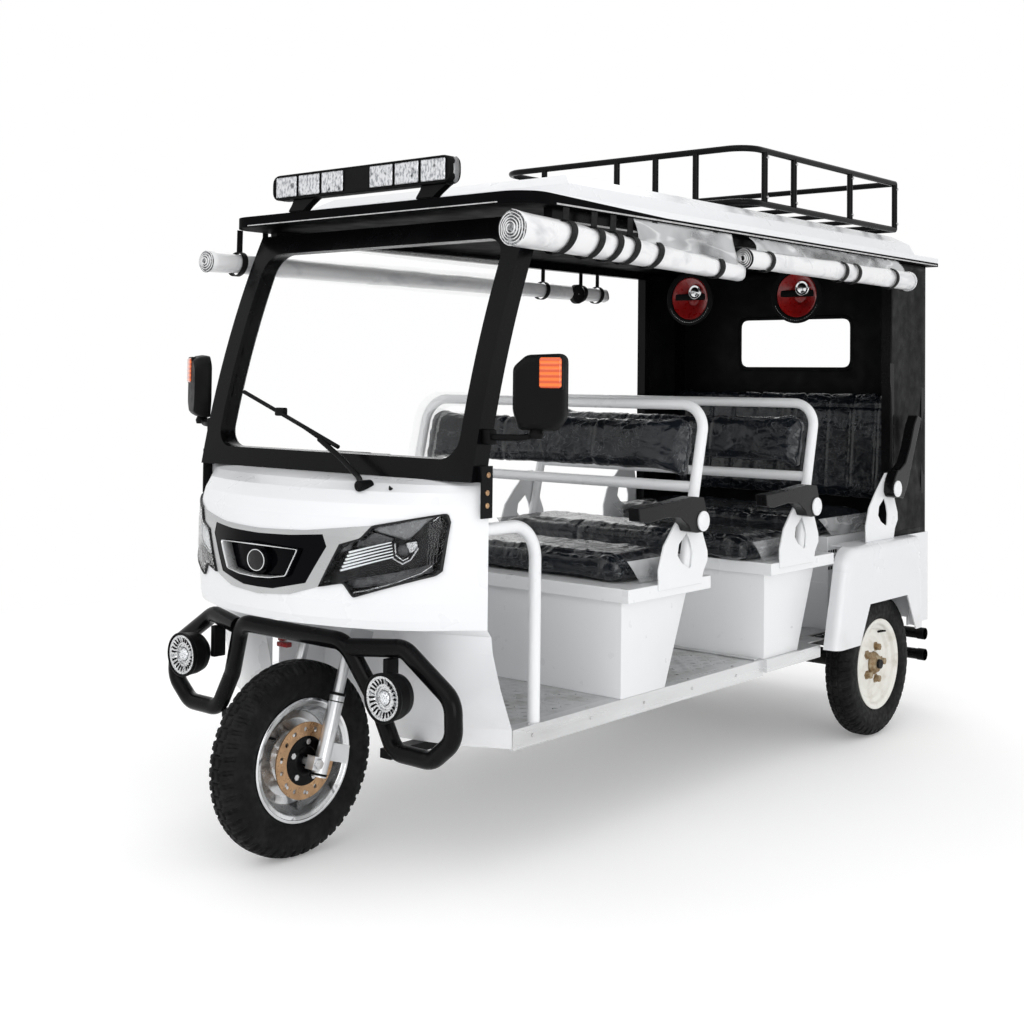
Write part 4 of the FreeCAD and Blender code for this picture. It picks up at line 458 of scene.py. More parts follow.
def leather():
    """Dark smooth seat cover under a clear film, with a cool bloom on the dark: pale lines along the film's wrinkles
    in patches, which are painted highlights, and finer painted glints.
    """
    cover = Finish("leather", "leather", 0.3, specular=0.45, coat=0.08, coat_rough=0.14)
    long = cover.lines(cover.noise(9, 4, (0.8, 1.5, 2.2), 1.6), 0.012)
    short = cover.lines(cover.noise(26, 3, (1.6, 1.0, 0.8), 1.3), 0.018)
    wrinkle_and_highlight = cover.product(long, cover.ranged(cover.noise(5, 2), 0.4, 0.58))
    glint = cover.product(short, cover.ranged(cover.noise(8, 3, (1, 1, 1.6)), 0.5, 0.66))
    # Tints: a cool bloom, then painted highlights along the wrinkles and finer painted glints; the wrinkles also bump
    # the surface.
    return (cover.tint(cover.ranged(cover.noise(4, 3), 0.4, 0.75), (0.01, 0.0135, 0.019))
            .tint(cover.ranged(wrinkle_and_highlight, 0.1, 1.0, 0, 0.4), (0.2, 0.215, 0.23))
            .tint(cover.ranged(glint, 0.2, 1.0, 0, 0.6), (0.3, 0.32, 0.335))
            .rough(cover.noise(14, 4), 0.14, 0.3).bump(cover.noise(16, 3, (1.4, 1, 1), 1.2), 0.006, 0.6)
            .bump(wrinkle_and_highlight, 0.002, 0.6).bump(cover.cells(700), 0.0002, 0.3))


def clear_film():
    """Thin clear film: faint where it lies flat, pale along its wrinkles, partly as milky creases and partly as
    painted highlights.
    """
    film = Finish("clear_film", (0.58, 0.59, 0.6), 0.16, alpha=0.3, specular=0.6)
    # Pale streaks along the wrinkles: partly milky creases, partly painted highlights.
    streak_and_highlight = film.lines(film.noise(6, 2, (1, 0.5, 1.8), 0.3), 0.03)
    return (film.drive("Alpha", film.ranged(film.noise(7, 2, (1, 0.7, 1)), 0.38, 0.66, 0.16, 0.72))
            .tint(streak_and_highlight, (0.86, 0.87, 0.88)).bump(film.noise(14, 3, (1, 0.7, 1.4), 0.6), 0.004, 0.6)
            .bump(streak_and_highlight, 0.001, 0.6))


def roof_edge():
    """Matt black of the roof's rim, white over its upper half behind the visor, where z + 0.032 y is high."""
    paint = Finish("roof_edge", (0.0025, 0.0025, 0.003), 0.6, specular=0.02)
    lean = paint.maths("MULTIPLY_ADD", paint.along("Y"), 0.032, paint.along("Z"))
    white = paint.product(paint.ranged(paint.along("Z"), 1.7955, 1.7965), paint.ranged(lean, 1.7812, 1.7818))
    return (paint.tint(white, bpy.context.scene.rickshaw_colours.white)
            .rough(paint.noise(12, 3), 0.5, 0.65))


# Each look: slot, base colour, roughness and other sockets, then its tints as (texture, from, to, tone), its
# roughness as (texture, low, high) and its bumps as (texture, height, strength). A look drawn by a function of its
# own has only its slot.
LOOKS = {
    "white_paint": ("white_paint", white_paint),
    "leather": ("black_leather", leather),
    "clear_film": ("clear_vinyl", clear_film),
    "roof_edge": ("black_paint", roof_edge),
    # Cool white of the seat boxes and tubes, plainer than the nose's and painted lighter than it to make up for the
    # shade they sit in: painted light
    "box_paint": ("white_paint", (0.84, 0.85, 0.86), 0.32, dict(coat=0.25, coat_rough=0.12), [((2.2, 1), 0.3, 0.8,
        (0.78, 0.79, 0.81))], ((14, 4), 0.26, 0.42), [((60, 2), 0.0004, 0.4)]),
    # Gloss black paint on tubes and posts
    "black_gloss": ("black_paint", "black", 0.2, dict(specular=0.1), [((4, 4), 0.45, 0.8, (0.005, 0.005, 0.0055))],
        ((12, 4), 0.16, 0.32), [((90, 2), 0.0003, 0.4)]),
    # Moulded black plastic with a fine grain
    "black_plastic": ("black_plastic", "plastic", 0.45, dict(specular=0.08), [((5, 3), 0.4, 0.8, (0.006, 0.006,
        0.0065))], ((30, 3), 0.38, 0.55), [(("cells", 900), 0.0003, 0.5)]),
    # Smooth soft black of the armrests' pads
    "arm_black": ("black_plastic", "plastic", 0.2, dict(specular=0.2), [], ((9, 3), 0.22, 0.34), [((14, 2), 0.0008,
        0.4)]),
    # Piano black of the nose panel
    "black_bezel": ("black_plastic", (0.002, 0.002, 0.003), 0.07, dict(specular=0.04), [], ((8, 3), 0.05, 0.12), []),
    # Polished chrome with faint streaks
    "chrome": ("chrome", (0.78, 0.79, 0.8), 0.07, dict(metal=1), [((7, 4), 0.4, 0.75, (0.55, 0.56, 0.58))], ((20, 4),
        0.04, 0.16), [((40, 2), 0.0002, 0.3)]),
    # Deep polished bowl: broad dark patches among bright ones, painted reflections standing for what its dish throws
    # about
    "bowl_chrome": ("chrome", (0.74, 0.75, 0.76), 0.24, dict(metal=0.85), [((9, 1, (1, 1, 1), 0.8), 0.44, 0.6, (0.38,
        0.385, 0.39)), ((17, 2, (1, 1, 1), 1.2), 0.6, 0.7, (0.14, 0.145, 0.15))], ((14, 3), 0.18, 0.32), [((12, 2),
        0.0012, 0.4)]),
    # Satin silver of the fork legs
    "fork_silver": ("chrome", (0.66, 0.67, 0.68), 0.34, dict(metal=0.85), [((6, 2, (1, 1, 0.4)), 0.4, 0.8, (0.5, 0.51,
        0.52))], ((20, 3), 0.28, 0.42), []),
    # Satin silver of the nose band
    "satin_silver": ("chrome", (0.56, 0.565, 0.57), 0.3, dict(metal=1), [((5, 3), 0.35, 0.8, (0.44, 0.445, 0.45))],
        ((18, 3, (1, 1, 4)), 0.24, 0.38), [((300, 2, (1, 1, 5)), 0.0001, 0.4)]),
    # Bright satin line of the panel's frame and the badge's ring
    "silver_trim": ("chrome", (0.8, 0.81, 0.82), 0.3, dict(metal=0.6), [((14, 2), 0.45, 0.75, (0.62, 0.63, 0.64))],
        ((30, 3), 0.22, 0.36), []),
    # Bare aluminium of the floor
    "bright_deck": ("bright_aluminium", (0.66, 0.665, 0.67), 0.36, dict(metal=0.85), [((11, 5), 0.45, 0.72, (0.47,
        0.465, 0.45))], ((34, 4), 0.26, 0.5), [((160, 3), 0.0002, 0.5)]),
    # Aluminium drawn along the sill
    "sill_metal": ("bright_aluminium", (0.72, 0.725, 0.73), 0.32, dict(metal=0.9), [((13, 4, (1, 0.15, 1)), 0.4, 0.75,
        (0.55, 0.55, 0.55))], ((60, 3, (1, 0.04, 1)), 0.24, 0.42), [((420, 2, (1, 0.02, 1)), 0.0002, 0.5)]),
    # Plain bright steel of bolts
    "steel": ("bright_steel", (0.62, 0.62, 0.63), 0.25, dict(metal=1), [((40, 4), 0.45, 0.75, (0.4, 0.39, 0.38))],
        ((70, 3), 0.18, 0.36), []),
    # Black chassis steel with road dirt
    "dark_steel": ("black_paint", (0.007, 0.007, 0.007), 0.5, dict(specular=0.2), [((12, 5), 0.5, 0.8, (0.03, 0.028,
        0.025))], ((25, 4), 0.4, 0.7), [((120, 3), 0.0004, 0.5)]),
    # Heat-tinted brake steel
    "copper_disc": ("bright_steel", "disc", 0.42, dict(metal=0.7), [((30, 4), 0.4, 0.7, (0.33, 0.2, 0.11))], ((90, 3),
        0.22, 0.42), []),
    # Pale gold cast metal
    "caliper_gold": ("bright_steel", "caliper", 0.42, dict(metal=0.8), [], ((60, 4), 0.34, 0.55), [((220, 3), 0.0004,
        0.6)]),
    # Rusty brown of a bare rear hub
    "hub_brown": ("disc_steel", (0.26, 0.17, 0.085), 0.5, dict(metal=0.5), [((60, 5), 0.42, 0.7, (0.46, 0.39, 0.27))],
        ((50, 4), 0.45, 0.75), [((150, 4), 0.0006, 0.7)]),
    # Cream paint of the rear rims, chalky in the dish
    "rim_cream": ("cream_rim", "rim", 0.35, dict(coat=0.2, coat_rough=0.2), [((22, 5), 0.5, 0.8, (0.6, 0.57, 0.5))],
        ((30, 4), 0.3, 0.5), []),
    # Black rubber, greyed by dust, with a fine moulded grain
    "tyre_rubber": ("tyre_rubber", (0.004, 0.004, 0.0045), 0.5, dict(specular=0.14), [((16, 6), 0.45, 0.75, (0.013,
        0.0128, 0.0125))], ((60, 4), 0.5, 0.78), [((420, 3), 0.0004, 0.6)]),
    # Black coated canvas with a fine weave and soft wrinkles
    "canvas": ("black_vinyl", (0.0035, 0.0035, 0.004), 0.5, dict(specular=0.1), [((7, 5), 0.5, 0.8, (0.01, 0.01,
        0.011))], ((22, 4), 0.4, 0.62), [((11, 4, (1, 1, 0.5), 0.6), 0.004, 0.5), (("waves", 240, "DIAGONAL"), 0.0002,
        0.4)]),
    # White curtain vinyl with grey patches of painted shade, standing for the shade in its folds
    "curtain_white": ("white_vinyl", (0.8, 0.8, 0.81), 0.34, dict(coat=0.4, coat_rough=0.15), [((13, 5, (1, 0.45, 1),
        1.0), 0.52, 0.78, (0.5, 0.51, 0.53))], ((18, 4), 0.24, 0.44), [((24, 4, (1, 0.5, 1), 1.2), 0.003, 0.6)]),
    # Grey of the clear window rolled inside a curtain
    "rolled_window": ("clear_vinyl", (0.05, 0.052, 0.055), 0.2, dict(specular=0.5), [((55, 2, (1, 1, 1), 1.5), 0.5,
        0.62, (0.34, 0.35, 0.36))], ((30, 2), 0.16, 0.3), [((60, 2), 0.002, 0.6)]),
    # Woven black strap
    "black_strap": ("black_vinyl", (0.006, 0.006, 0.0065), 0.6, dict(specular=0.2), [], ((80, 3), 0.5, 0.72),
        [(("waves", 260, "DIAGONAL"), 0.0003, 0.6)]),
    # Clear glass with the faintest green
    "window_glass": ("lamp_glass", (0.97, 0.99, 0.98), 0.01, dict(clear=1, ior=1.02, alpha=0.16), [], ((3, 2), 0.0,
        0.02), []),
    # Smoked clear lens
    "lamp_lens": ("lamp_glass", (0.86, 0.87, 0.88), 0.03, dict(clear=1, ior=1.2, alpha=0.5), [], ((14, 2), 0.01, 0.05),
        []),
    # Bright cut lens over a lamp
    "crystal": ("lamp_glass", (0.9, 0.92, 0.94), 0.05, dict(metal=0.55, coat=1, coat_rough=0.02), [(("cells", 160),
        0.02, 0.3, (0.3, 0.31, 0.33))], ((60, 3), 0.03, 0.2), []),
    # Dark chrome inside the lamps
    "lamp_smoke": ("black_plastic", (0.006, 0.006, 0.007), 0.2, dict(specular=0.25), [((15, 3), 0.5, 0.75, (0.03, 0.03,
        0.032))], ((25, 3), 0.14, 0.34), []),
    # Darker smoked panels and bars of the lamps
    "lamp_shade": ("black_plastic", (0.075, 0.076, 0.08), 0.22, dict(specular=0.5), [((22, 3, (0.4, 1, 1)), 0.4, 0.7,
        (0.028, 0.028, 0.03))], ((30, 3), 0.16, 0.36), []),
    # Mid grey on the black plastic of the lamps' inner panels and the bar's end caps: painted light, for the light
    # their facets catch
    "lamp_grey": ("black_plastic", (0.25, 0.255, 0.26), 0.24, dict(metal=0.3, specular=0.5), [((18, 3, (0.4, 1, 1)),
        0.4, 0.72, (0.15, 0.15, 0.155))], ((30, 3), 0.16, 0.36), []),
    # White strips that glow a little by day
    "light_strip": ("lamp_glass", (0.86, 0.88, 0.9), 0.3, dict(glow=0.12), [], ((60, 2), 0.2, 0.4), []),
    # Bright aluminised reflector
    "silver_face": ("chrome", (0.74, 0.75, 0.76), 0.14, dict(metal=1), [(("cells", 190), 0.02, 0.28, (0.34, 0.345,
        0.35))], ((60, 3), 0.08, 0.26), [(("cells", 150), 0.0012, 0.6)]),
    # Cut clear lens over bright reflectors: pale grey, broken into small sparkling facets
    "lamp_crystal": ("lamp_glass", (0.7, 0.71, 0.73), 0.14, dict(metal=0.35, specular=0.7), [((150, 3, (1, 1, 0.45)),
        0.46, 0.62, (0.3, 0.31, 0.33)), ((34, 2), 0.6, 0.7, (0.06, 0.065, 0.07))], ((80, 2), 0.1, 0.25), [(("cells",
        120), 0.0015, 0.7)]),
    # Orange ribbed lens
    "amber_lens": ("red_lens", "amber", 0.12, dict(coat=0.8, coat_rough=0.04), [(("waves", 22, "Z"), 0.2, 0.8, (0.62,
        0.07, 0.005))], ((50, 2), 0.08, 0.2), [(("waves", 22, "Z"), 0.0015, 0.6)]),
    # Red ribbed lens
    "red_lens": ("red_lens", (0.48, 0.008, 0.008), 0.12, dict(coat=0.8, coat_rough=0.04), [(("waves", 30, "X"), 0.2,
        0.8, (0.26, 0.004, 0.004))], ((50, 2), 0.08, 0.2), [(("waves", 30, "X"), 0.0015, 0.6)]),
    # Pale ribbed lens
    "white_lens": ("red_lens", (0.75, 0.76, 0.77), 0.14, dict(coat=0.8, coat_rough=0.04), [], ((50, 2), 0.08, 0.2),
        [(("waves", 30, "X"), 0.0015, 0.6)]),
    # Glossy red speaker cone
    "red_cone": ("red_lens", "cone", 0.3, dict(coat=0.4), [((40, 3), 0.45, 0.75, (0.2, 0.004, 0.004))], ((50, 3), 0.22,
        0.4), []),
    # Silvered mirror
    "mirror_glass": ("chrome", (0.86, 0.87, 0.88), 0.02, dict(metal=1), [], ((5, 2), 0.01, 0.04), []),
}
FINISHES = {}


def finish(name):
    """The named look as a material, made once."""
    if name not in FINISHES:
        _, base, *rest = LOOKS[name]
        FINISHES[name] = (base() if callable(base) else layered(name, base, *rest)).material
    return FINISHES[name]


def layered(name, base, roughness, sockets, tints, spread, bumps):
    """A finish from a row of LOOKS."""
    look = Finish(name, base, roughness, **sockets)
    for texture, low, high, tone in tints:
        look.tint(look.ranged(look.drawn(texture), low, high), tone)
    look.rough(look.drawn(spread[0]), *spread[1:])
    for texture, height, strength in bumps:
        look.bump(look.drawn(texture), height, strength)
    return look


# CAD nodes that keep their shape, by finish
KEPT = {
    "white_paint": ["front_cowl", "roof_crown", "rear_tub"],
    "box_paint": ["seat_back_frames", "grab_hoops", "armrest_brackets", "wheel_well"],
    "black_gloss": ["bumper_guard", "windscreen_frame", "roof_rails", "roof_posts", "roof_rack", "rear_bumper",
                    "handlebar", "steering_head"],
    "roof_edge": ["roof_rim"],
    "black_plastic": ["dashboard", "battery_pack"],
    "black_bezel": ["grille"],
    "satin_silver": ["nose_trim"],
    "bright_deck": ["floor_deck"],
    "sill_metal": ["side_sills"],
    "fork_silver": ["front_fork"],
    "copper_disc": ["brake_disc"],
    "dark_steel": ["chassis_frame", "rear_axle", "leaf_springs"],
    "window_glass": ["windscreen_glass", "rear_window"],
}


# Wheels

FRONT_WHEEL = (0.0, -1.3375, 0.265)
REAR_WHEEL = (0.568, 0.9925, 0.265)
BARREL = [(-0.0455, 0.1665), (-0.0403, 0.1665), (-0.0403, 0.1518), (0.0403, 0.1518), (0.0403, 0.1665)]
FRONT_BOWL = BARREL + [
    (0.0455, 0.1665), (0.0475, 0.16), (0.044, 0.147), (0.018, 0.141), (-0.004, 0.129), (-0.01, 0.105),
    (-0.006, 0.075), (0.008, 0.055), (0.012, 0.0425), (0.006, 0.0425), (0.001, 0.056), (-0.013, 0.076),
    (-0.016, 0.106), (-0.011, 0.133), (-0.014, 0.1458), (-0.044, 0.1458)]
REAR_DISH = BARREL + [
    (0.045, 0.1665), (0.0452, 0.159), (0.04, 0.1475), (0.027, 0.144), (0.023, 0.13), (0.012, 0.124),
    (0.009, 0.1), (0.02, 0.08), (0.024, 0.056), (0.024, 0.0425), (0.018, 0.0425), (0.018, 0.056),
    (0.014, 0.076), (0.003, 0.098), (0.006, 0.124), (0.016, 0.13), (0.02, 0.1458), (-0.044, 0.1458)]


def tyre_patch(centre):
    """A tyre as a grid of turns and stations round its section.

    Section: from the bead up a bulged wall, x = 0.052 sgn(cos v)|cos v|^0.62, r = 0.209 + 0.056 sin(v)^0.75, and
    down the other wall. Lugs: the radius drops by the groove's depth where cos(lugs a + skew) is low at the
    shoulders, and along two zigzag lines round the middle.
    """
    sizes = bpy.context.scene.rickshaw_wheels
    turns = sizes.lugs * 12
    bead = np.array([(0.04, 0.1525), (0.04, 0.1665), (0.0435, 0.1712), (0.048, 0.18), (0.0512, 0.193)])
    v = np.linspace(0, math.pi, 48)
    crown = np.stack([0.052 * np.sign(np.cos(v)) * np.abs(np.cos(v)) ** 0.62,
                      0.209 + 0.056 * np.sin(v) ** 0.75], 1)
    section = np.concatenate([bead, crown, bead[::-1] * (-1, 1), [(0, 0.1525)]])
    angle = np.linspace(0, TAU, turns, endpoint=False)[:, None]
    x, radius = section.T[:, None]
    skew = angle * sizes.lugs + np.sign(x) * 1.2 + x * 36

    def over(value, start, spread):
        """From 0 to 1 as a value grows past a start."""
        return np.clip((value - start) / spread, 0, 1)

    lug = over(np.cos(skew), 0.42, 0.25) * over(np.abs(x), 0.019, 0.006) * over(radius, 0.236, 0.01)
    zigzag = 0.011 + 0.0035 * (np.abs(((angle * sizes.lugs / TAU) % 1) - 0.5) * 4 - 1)
    line = np.exp(-((np.abs(x) - zigzag) / 0.0022) ** 4) * (radius > 0.25)
    sipe = over(np.cos(skew + math.pi), 0.9, 0.1) * over(np.abs(x), 0.02, 0.004) * over(radius, 0.246, 0.006)
    ribs = 0.0007 * (np.cos(angle * sizes.lugs * 4) > 0) * np.exp(-((radius - 0.226) / 0.006) ** 2)
    depth = sizes.groove * (np.maximum(lug, line) + 0.35 * sipe)
    wall = depth * over(-radius, -0.262, 0.03) * 0.55
    shape = radius - depth * over(radius, 0.225, 0.03)
    points = np.stack([x + (ribs - wall) * np.sign(x), np.cos(angle) * shape, np.sin(angle) * shape], -1)
    return points + np.asarray(centre), grid_faces(turns, len(section), True, True)


class TYRES_OT_make(Operator):
    """Mould the three tyres with their lugs, zigzag grooves and side ribs"""
    bl_idname = "rickshaw.tyres"
    bl_label = "Tyres"

    def execute(self, context):
        left = tyre_patch(REAR_WHEEL)
        for body, patch in (("front_wheel", tyre_patch(FRONT_WHEEL)), ("rear_wheel_left", left),
                            ("rear_wheel_right", mirrored(left))):
            piece("tread_" + body.replace("_wheel", ""), [patch], "tyre_rubber", body,
                  node=body.replace("wheel", "tyre"), sharp=28)
        return {"FINISHED"}


class RIMS_OT_make(Operator):
    """Spin the polished front bowl, the cream rear dishes, their hubs and bolts"""
    bl_idname = "rickshaw.rims"
    bl_label = "Rims and hubs"

    def execute(self, context):
        x, y, z = FRONT_WHEEL
        bowl = lathe(FRONT_BOWL, FRONT_WHEEL, "x", 128, 0.0035)
        hub = lathe([(-0.048, 0.0135), (-0.048, 0.038), (-0.04, 0.042), (0.04, 0.042), (0.047, 0.036),
                     (0.047, 0.0135)], FRONT_WHEEL, "x", 64, 0.002)
        carrier = lathe([(0.0475, 0.0165), (0.0475, 0.069), (0.0512, 0.069), (0.053, 0.064), (0.053, 0.04),
                         (0.056, 0.036), (0.056, 0.0165)], FRONT_WHEEL, "x", 64, 0.001)
        heads = bolts(0.052, 5, (x + 0.0528, y, z), 0.0085, 0.0055, start=0.2)
        heads += bolts(0.088, 7, (x + 0.0515, y, z), 0.0045, 0.0022, start=0.3)
        lip = lathe([(0.04, 0.169), (0.0478, 0.168), (0.0484, 0.1615), (0.045, 0.156), (0.043, 0.162)],
                    FRONT_WHEEL, "x", 128, 0.0014, 4)
        valve = pipe([(0.004, y - 0.09, z + 0.07), (0.022, y - 0.093, z + 0.072), (0.036, y - 0.095, z + 0.073)],
                     [0.0045, 0.004, 0.003], 10)
        for name, patches, looks, rest in (
                ("bowl", [bowl], "bowl_chrome", dict(node="front_rim", sharp=60)),
                ("lip", [lip, mirrored(lip)], "chrome", dict(sharp=60)), ("hub", [hub], "black_gloss", {}),
                ("carrier", [carrier] + [(*head, 1) for head in heads], ["black_gloss", "steel"],
                 dict(slot="chrome")), ("valve", [valve], "black_plastic", {})):
            piece("front_" + name, patches, looks, "front_wheel", **rest)
        x, y, z = REAR_WHEEL
        dish = lathe(REAR_DISH, REAR_WHEEL, "x", 112, 0.0035)
        drum = lathe([(0, 0), (0, 0.041), (0.03, 0.041), (0.036, 0.034), (0.0445, 0.03), (0.0452, 0)],
                     REAR_WHEEL, "x", 48, 0.0025)
        bolt = context.scene.rickshaw_wheels.bolt
        nuts = (bolts(0.062, 5, (x + 0.0215, y, z), bolt * 1.5, 0.02)
                + bolts(0.062, 5, (x + 0.021, y, z), bolt * 2.1, 0.004))
        stem = pipe([(x + 0.012, y + 0.06, z + 0.108), (x + 0.03, y + 0.062, z + 0.112),
                     (x + 0.043, y + 0.063, z + 0.114)], [0.0048, 0.0042, 0.0032], 10)
        for side, turn in (("left", tuple), ("right", mirrored)):
            node, body = "rear_rim_" + side, "rear_wheel_" + side
            piece(node + "_dish", [turn(dish)], "rim_cream", body, node=node, sharp=60)
            piece(node + "_hub", [turn(patch) for patch in [drum, *nuts]], "hub_brown", body)
            piece(node + "_stem", [turn(stem)], "black_plastic", body)
        return {"FINISHED"}


class FORK_OT_make(Operator):
    """Add the fork's collars, the axle's nuts and the caliper's gold body"""
    bl_idname = "rickshaw.fork"
    bl_label = "Fork details"

    def execute(self, context):
        lean = math.radians(17.5)
        axes = np.array([(1, 0, 0), (0, math.cos(lean), -math.sin(lean)), (0, math.sin(lean), math.cos(lean))])
        axle = np.asarray(FRONT_WHEEL)
        collars = [pipe([axle + (side, 0.025, above + long * k) @ axes for k in (0, 0.5, 1)], radius, 32)
                   for side in (0.09, -0.09)
                   for above, radius, long in ((0.186, 0.0225, 0.008), (-0.03, 0.0222, 0.006), (0.168, 0.0218, 0.003))]
        piece("fork_collars", collars, "black_plastic", "steering")
        nuts = [prism(hexagon(0.014) + axle[1:], 0.1055 * side, 0.1115 * side) for side in (1, -1)]
        piece("axle_nuts", nuts, "steel", "steering")
        points, faces = block((0.036, 0.05, 0.016), (0.074, 0.0835, 0.058), 0.006)
        piece("caliper_cover", [(points @ axes + axle, faces)], "caliper_gold", "steering")
        return {"FINISHED"}


# Nose: its surface, the lamps and the panel round the badge

HALF_WIDTH = 0.572
NOSE_PLAN = np.array([(-0.175, 0.015), (0, 0), (0.175, 0.015), (0.35, 0.09), (0.61, 0.286), (0.787, 0.536),
                      (0.874, 0.73), (0.944, 0.89), (1, 1), (1.03, 1.1)])
NOSE_LEVELS = np.array([(0.338, -1.214, -1.0808), (0.388, -1.2231, -1.0808), (0.503, -1.2426, -1.1293),
                        (0.596, -1.2647, -1.1602), (0.642, -1.2777, -1.1679)]
                       + [(0.662 + 0.383 * rise, -1.3375 - 0.13 * lead, -1.1833) for rise, lead in
                          ((0, 0.86), (0.06, 0.94), (0.18, 1), (0.4, 1.01), (0.62, 1), (0.75, 0.93), (0.84, 0.77),
                           (0.92, 0.42), (0.97, 0), (1, -0.55))])
LAMP_LOW = [(0.209, 0.765), (0.278, 0.779), (0.305, 0.743), (0.482, 0.805), (0.492, 0.817)]
LAMP_HIGH = [(0.267, 0.879), (0.322, 0.897), (0.348, 0.93), (0.498, 0.964), (0.504, 0.942)]
LAMP_MIDDLE = (0.385, 0.85)


def through(points, per=24):
    """A curve through points: each span is the cubic that leaves a point along the line between its neighbours."""
    t = np.linspace(0, 1, per, endpoint=False)[None, :, None]
    a, b, c, d = (points[k:len(points) - 3 + k, None] for k in range(4))
    curve = 0.5 * (2 * b + (c - a) * t + (2 * a - 5 * b + 4 * c - d) * t ** 2 + (3 * b - a - 3 * c + d) * t ** 3)
    return np.concatenate([curve.reshape(-1, points.shape[1]), points[-2:-1]])


def nose_station(x, z):
    """How far back the nose lies: the front's station plus its depth times the plan's share at |x|."""
    plan = through(NOSE_PLAN)
    share = np.interp(np.abs(x) / HALF_WIDTH, plan[:, 0], plan[:, 1])
    front, rear = (np.interp(z, NOSE_LEVELS[:, 0], NOSE_LEVELS[:, k]) for k in (1, 2))
    return front + (rear - front) * share


def on_nose(spots, proud=0.0):
    """Points over the nose: its surface at (x, z) moved along its outward normal (dy/dx, -1, dy/dz)."""
    x, z = np.moveaxis(np.asarray(spots, float), -1, 0)
    step = 0.004
    slope_x = (nose_station(x + step, z) - nose_station(x - step, z)) / (2 * step)
    slope_z = (nose_station(x, z + step) - nose_station(x, z - step)) / (2 * step)
    normal = np.stack([slope_x, -np.ones_like(x), slope_z], -1)
    normal /= np.linalg.norm(normal, axis=-1, keepdims=True)
    return np.stack([x, nose_station(x, z), z], -1) + normal * np.asarray(proud)[..., None]


def ruled(low, high, columns, rows):
    """Flat points between two lines: P(u, v) = (1 - v) low(u) + v high(u)."""
    u = np.linspace(0, 1, columns)
    first, second = (np.stack([np.interp(u, np.linspace(0, 1, len(line)), line[:, k]) for k in (0, 1)], -1)
                     for line in (low, high))
    v = np.linspace(0, 1, rows)[:, None, None]
    return (1 - v) * first + v * second


def lamp_field(inset):
    """The lamp's outline filled with points, drawn in towards its middle by an inset."""
    field = ruled(soft_corners(LAMP_LOW, 0.006, 4, False), soft_corners(LAMP_HIGH, 0.008, 4, False), 60, 16)
    way = LAMP_MIDDLE - field
    size = np.linalg.norm(way, axis=-1, keepdims=True)
    return field + way / np.maximum(size, 1e-6) * inset * np.minimum(1, size / 0.05)


def edge_loop(field):
    """The outer points of a grid, in order."""
    return np.concatenate([field[0, :-1], field[:-1, -1], field[-1, :0:-1], field[:0:-1, 0]])


def nose_bar(proud, radius, *spots):
    """A thin round bar along points of the nose, ten stations to each span."""
    steps = np.linspace(0, len(spots) - 1, (len(spots) - 1) * 10 + 1)
    line = np.stack([np.interp(steps, np.arange(len(spots)), np.array(spots)[:, k]) for k in (0, 1)], -1)
    return pipe(on_nose(line, proud), radius, 8)


def nose_plate(low, high, sunk, raised, look=0):
    """A panel between two lines of the nose, from one depth at the first to another at the second."""
    spread = ruled(soft_corners(low, 0.006, 4, False), soft_corners(high, 0.006, 4, False), 30, 7)
    return *sheet(on_nose(spread, np.linspace(sunk, raised, 7)[:, None])), look


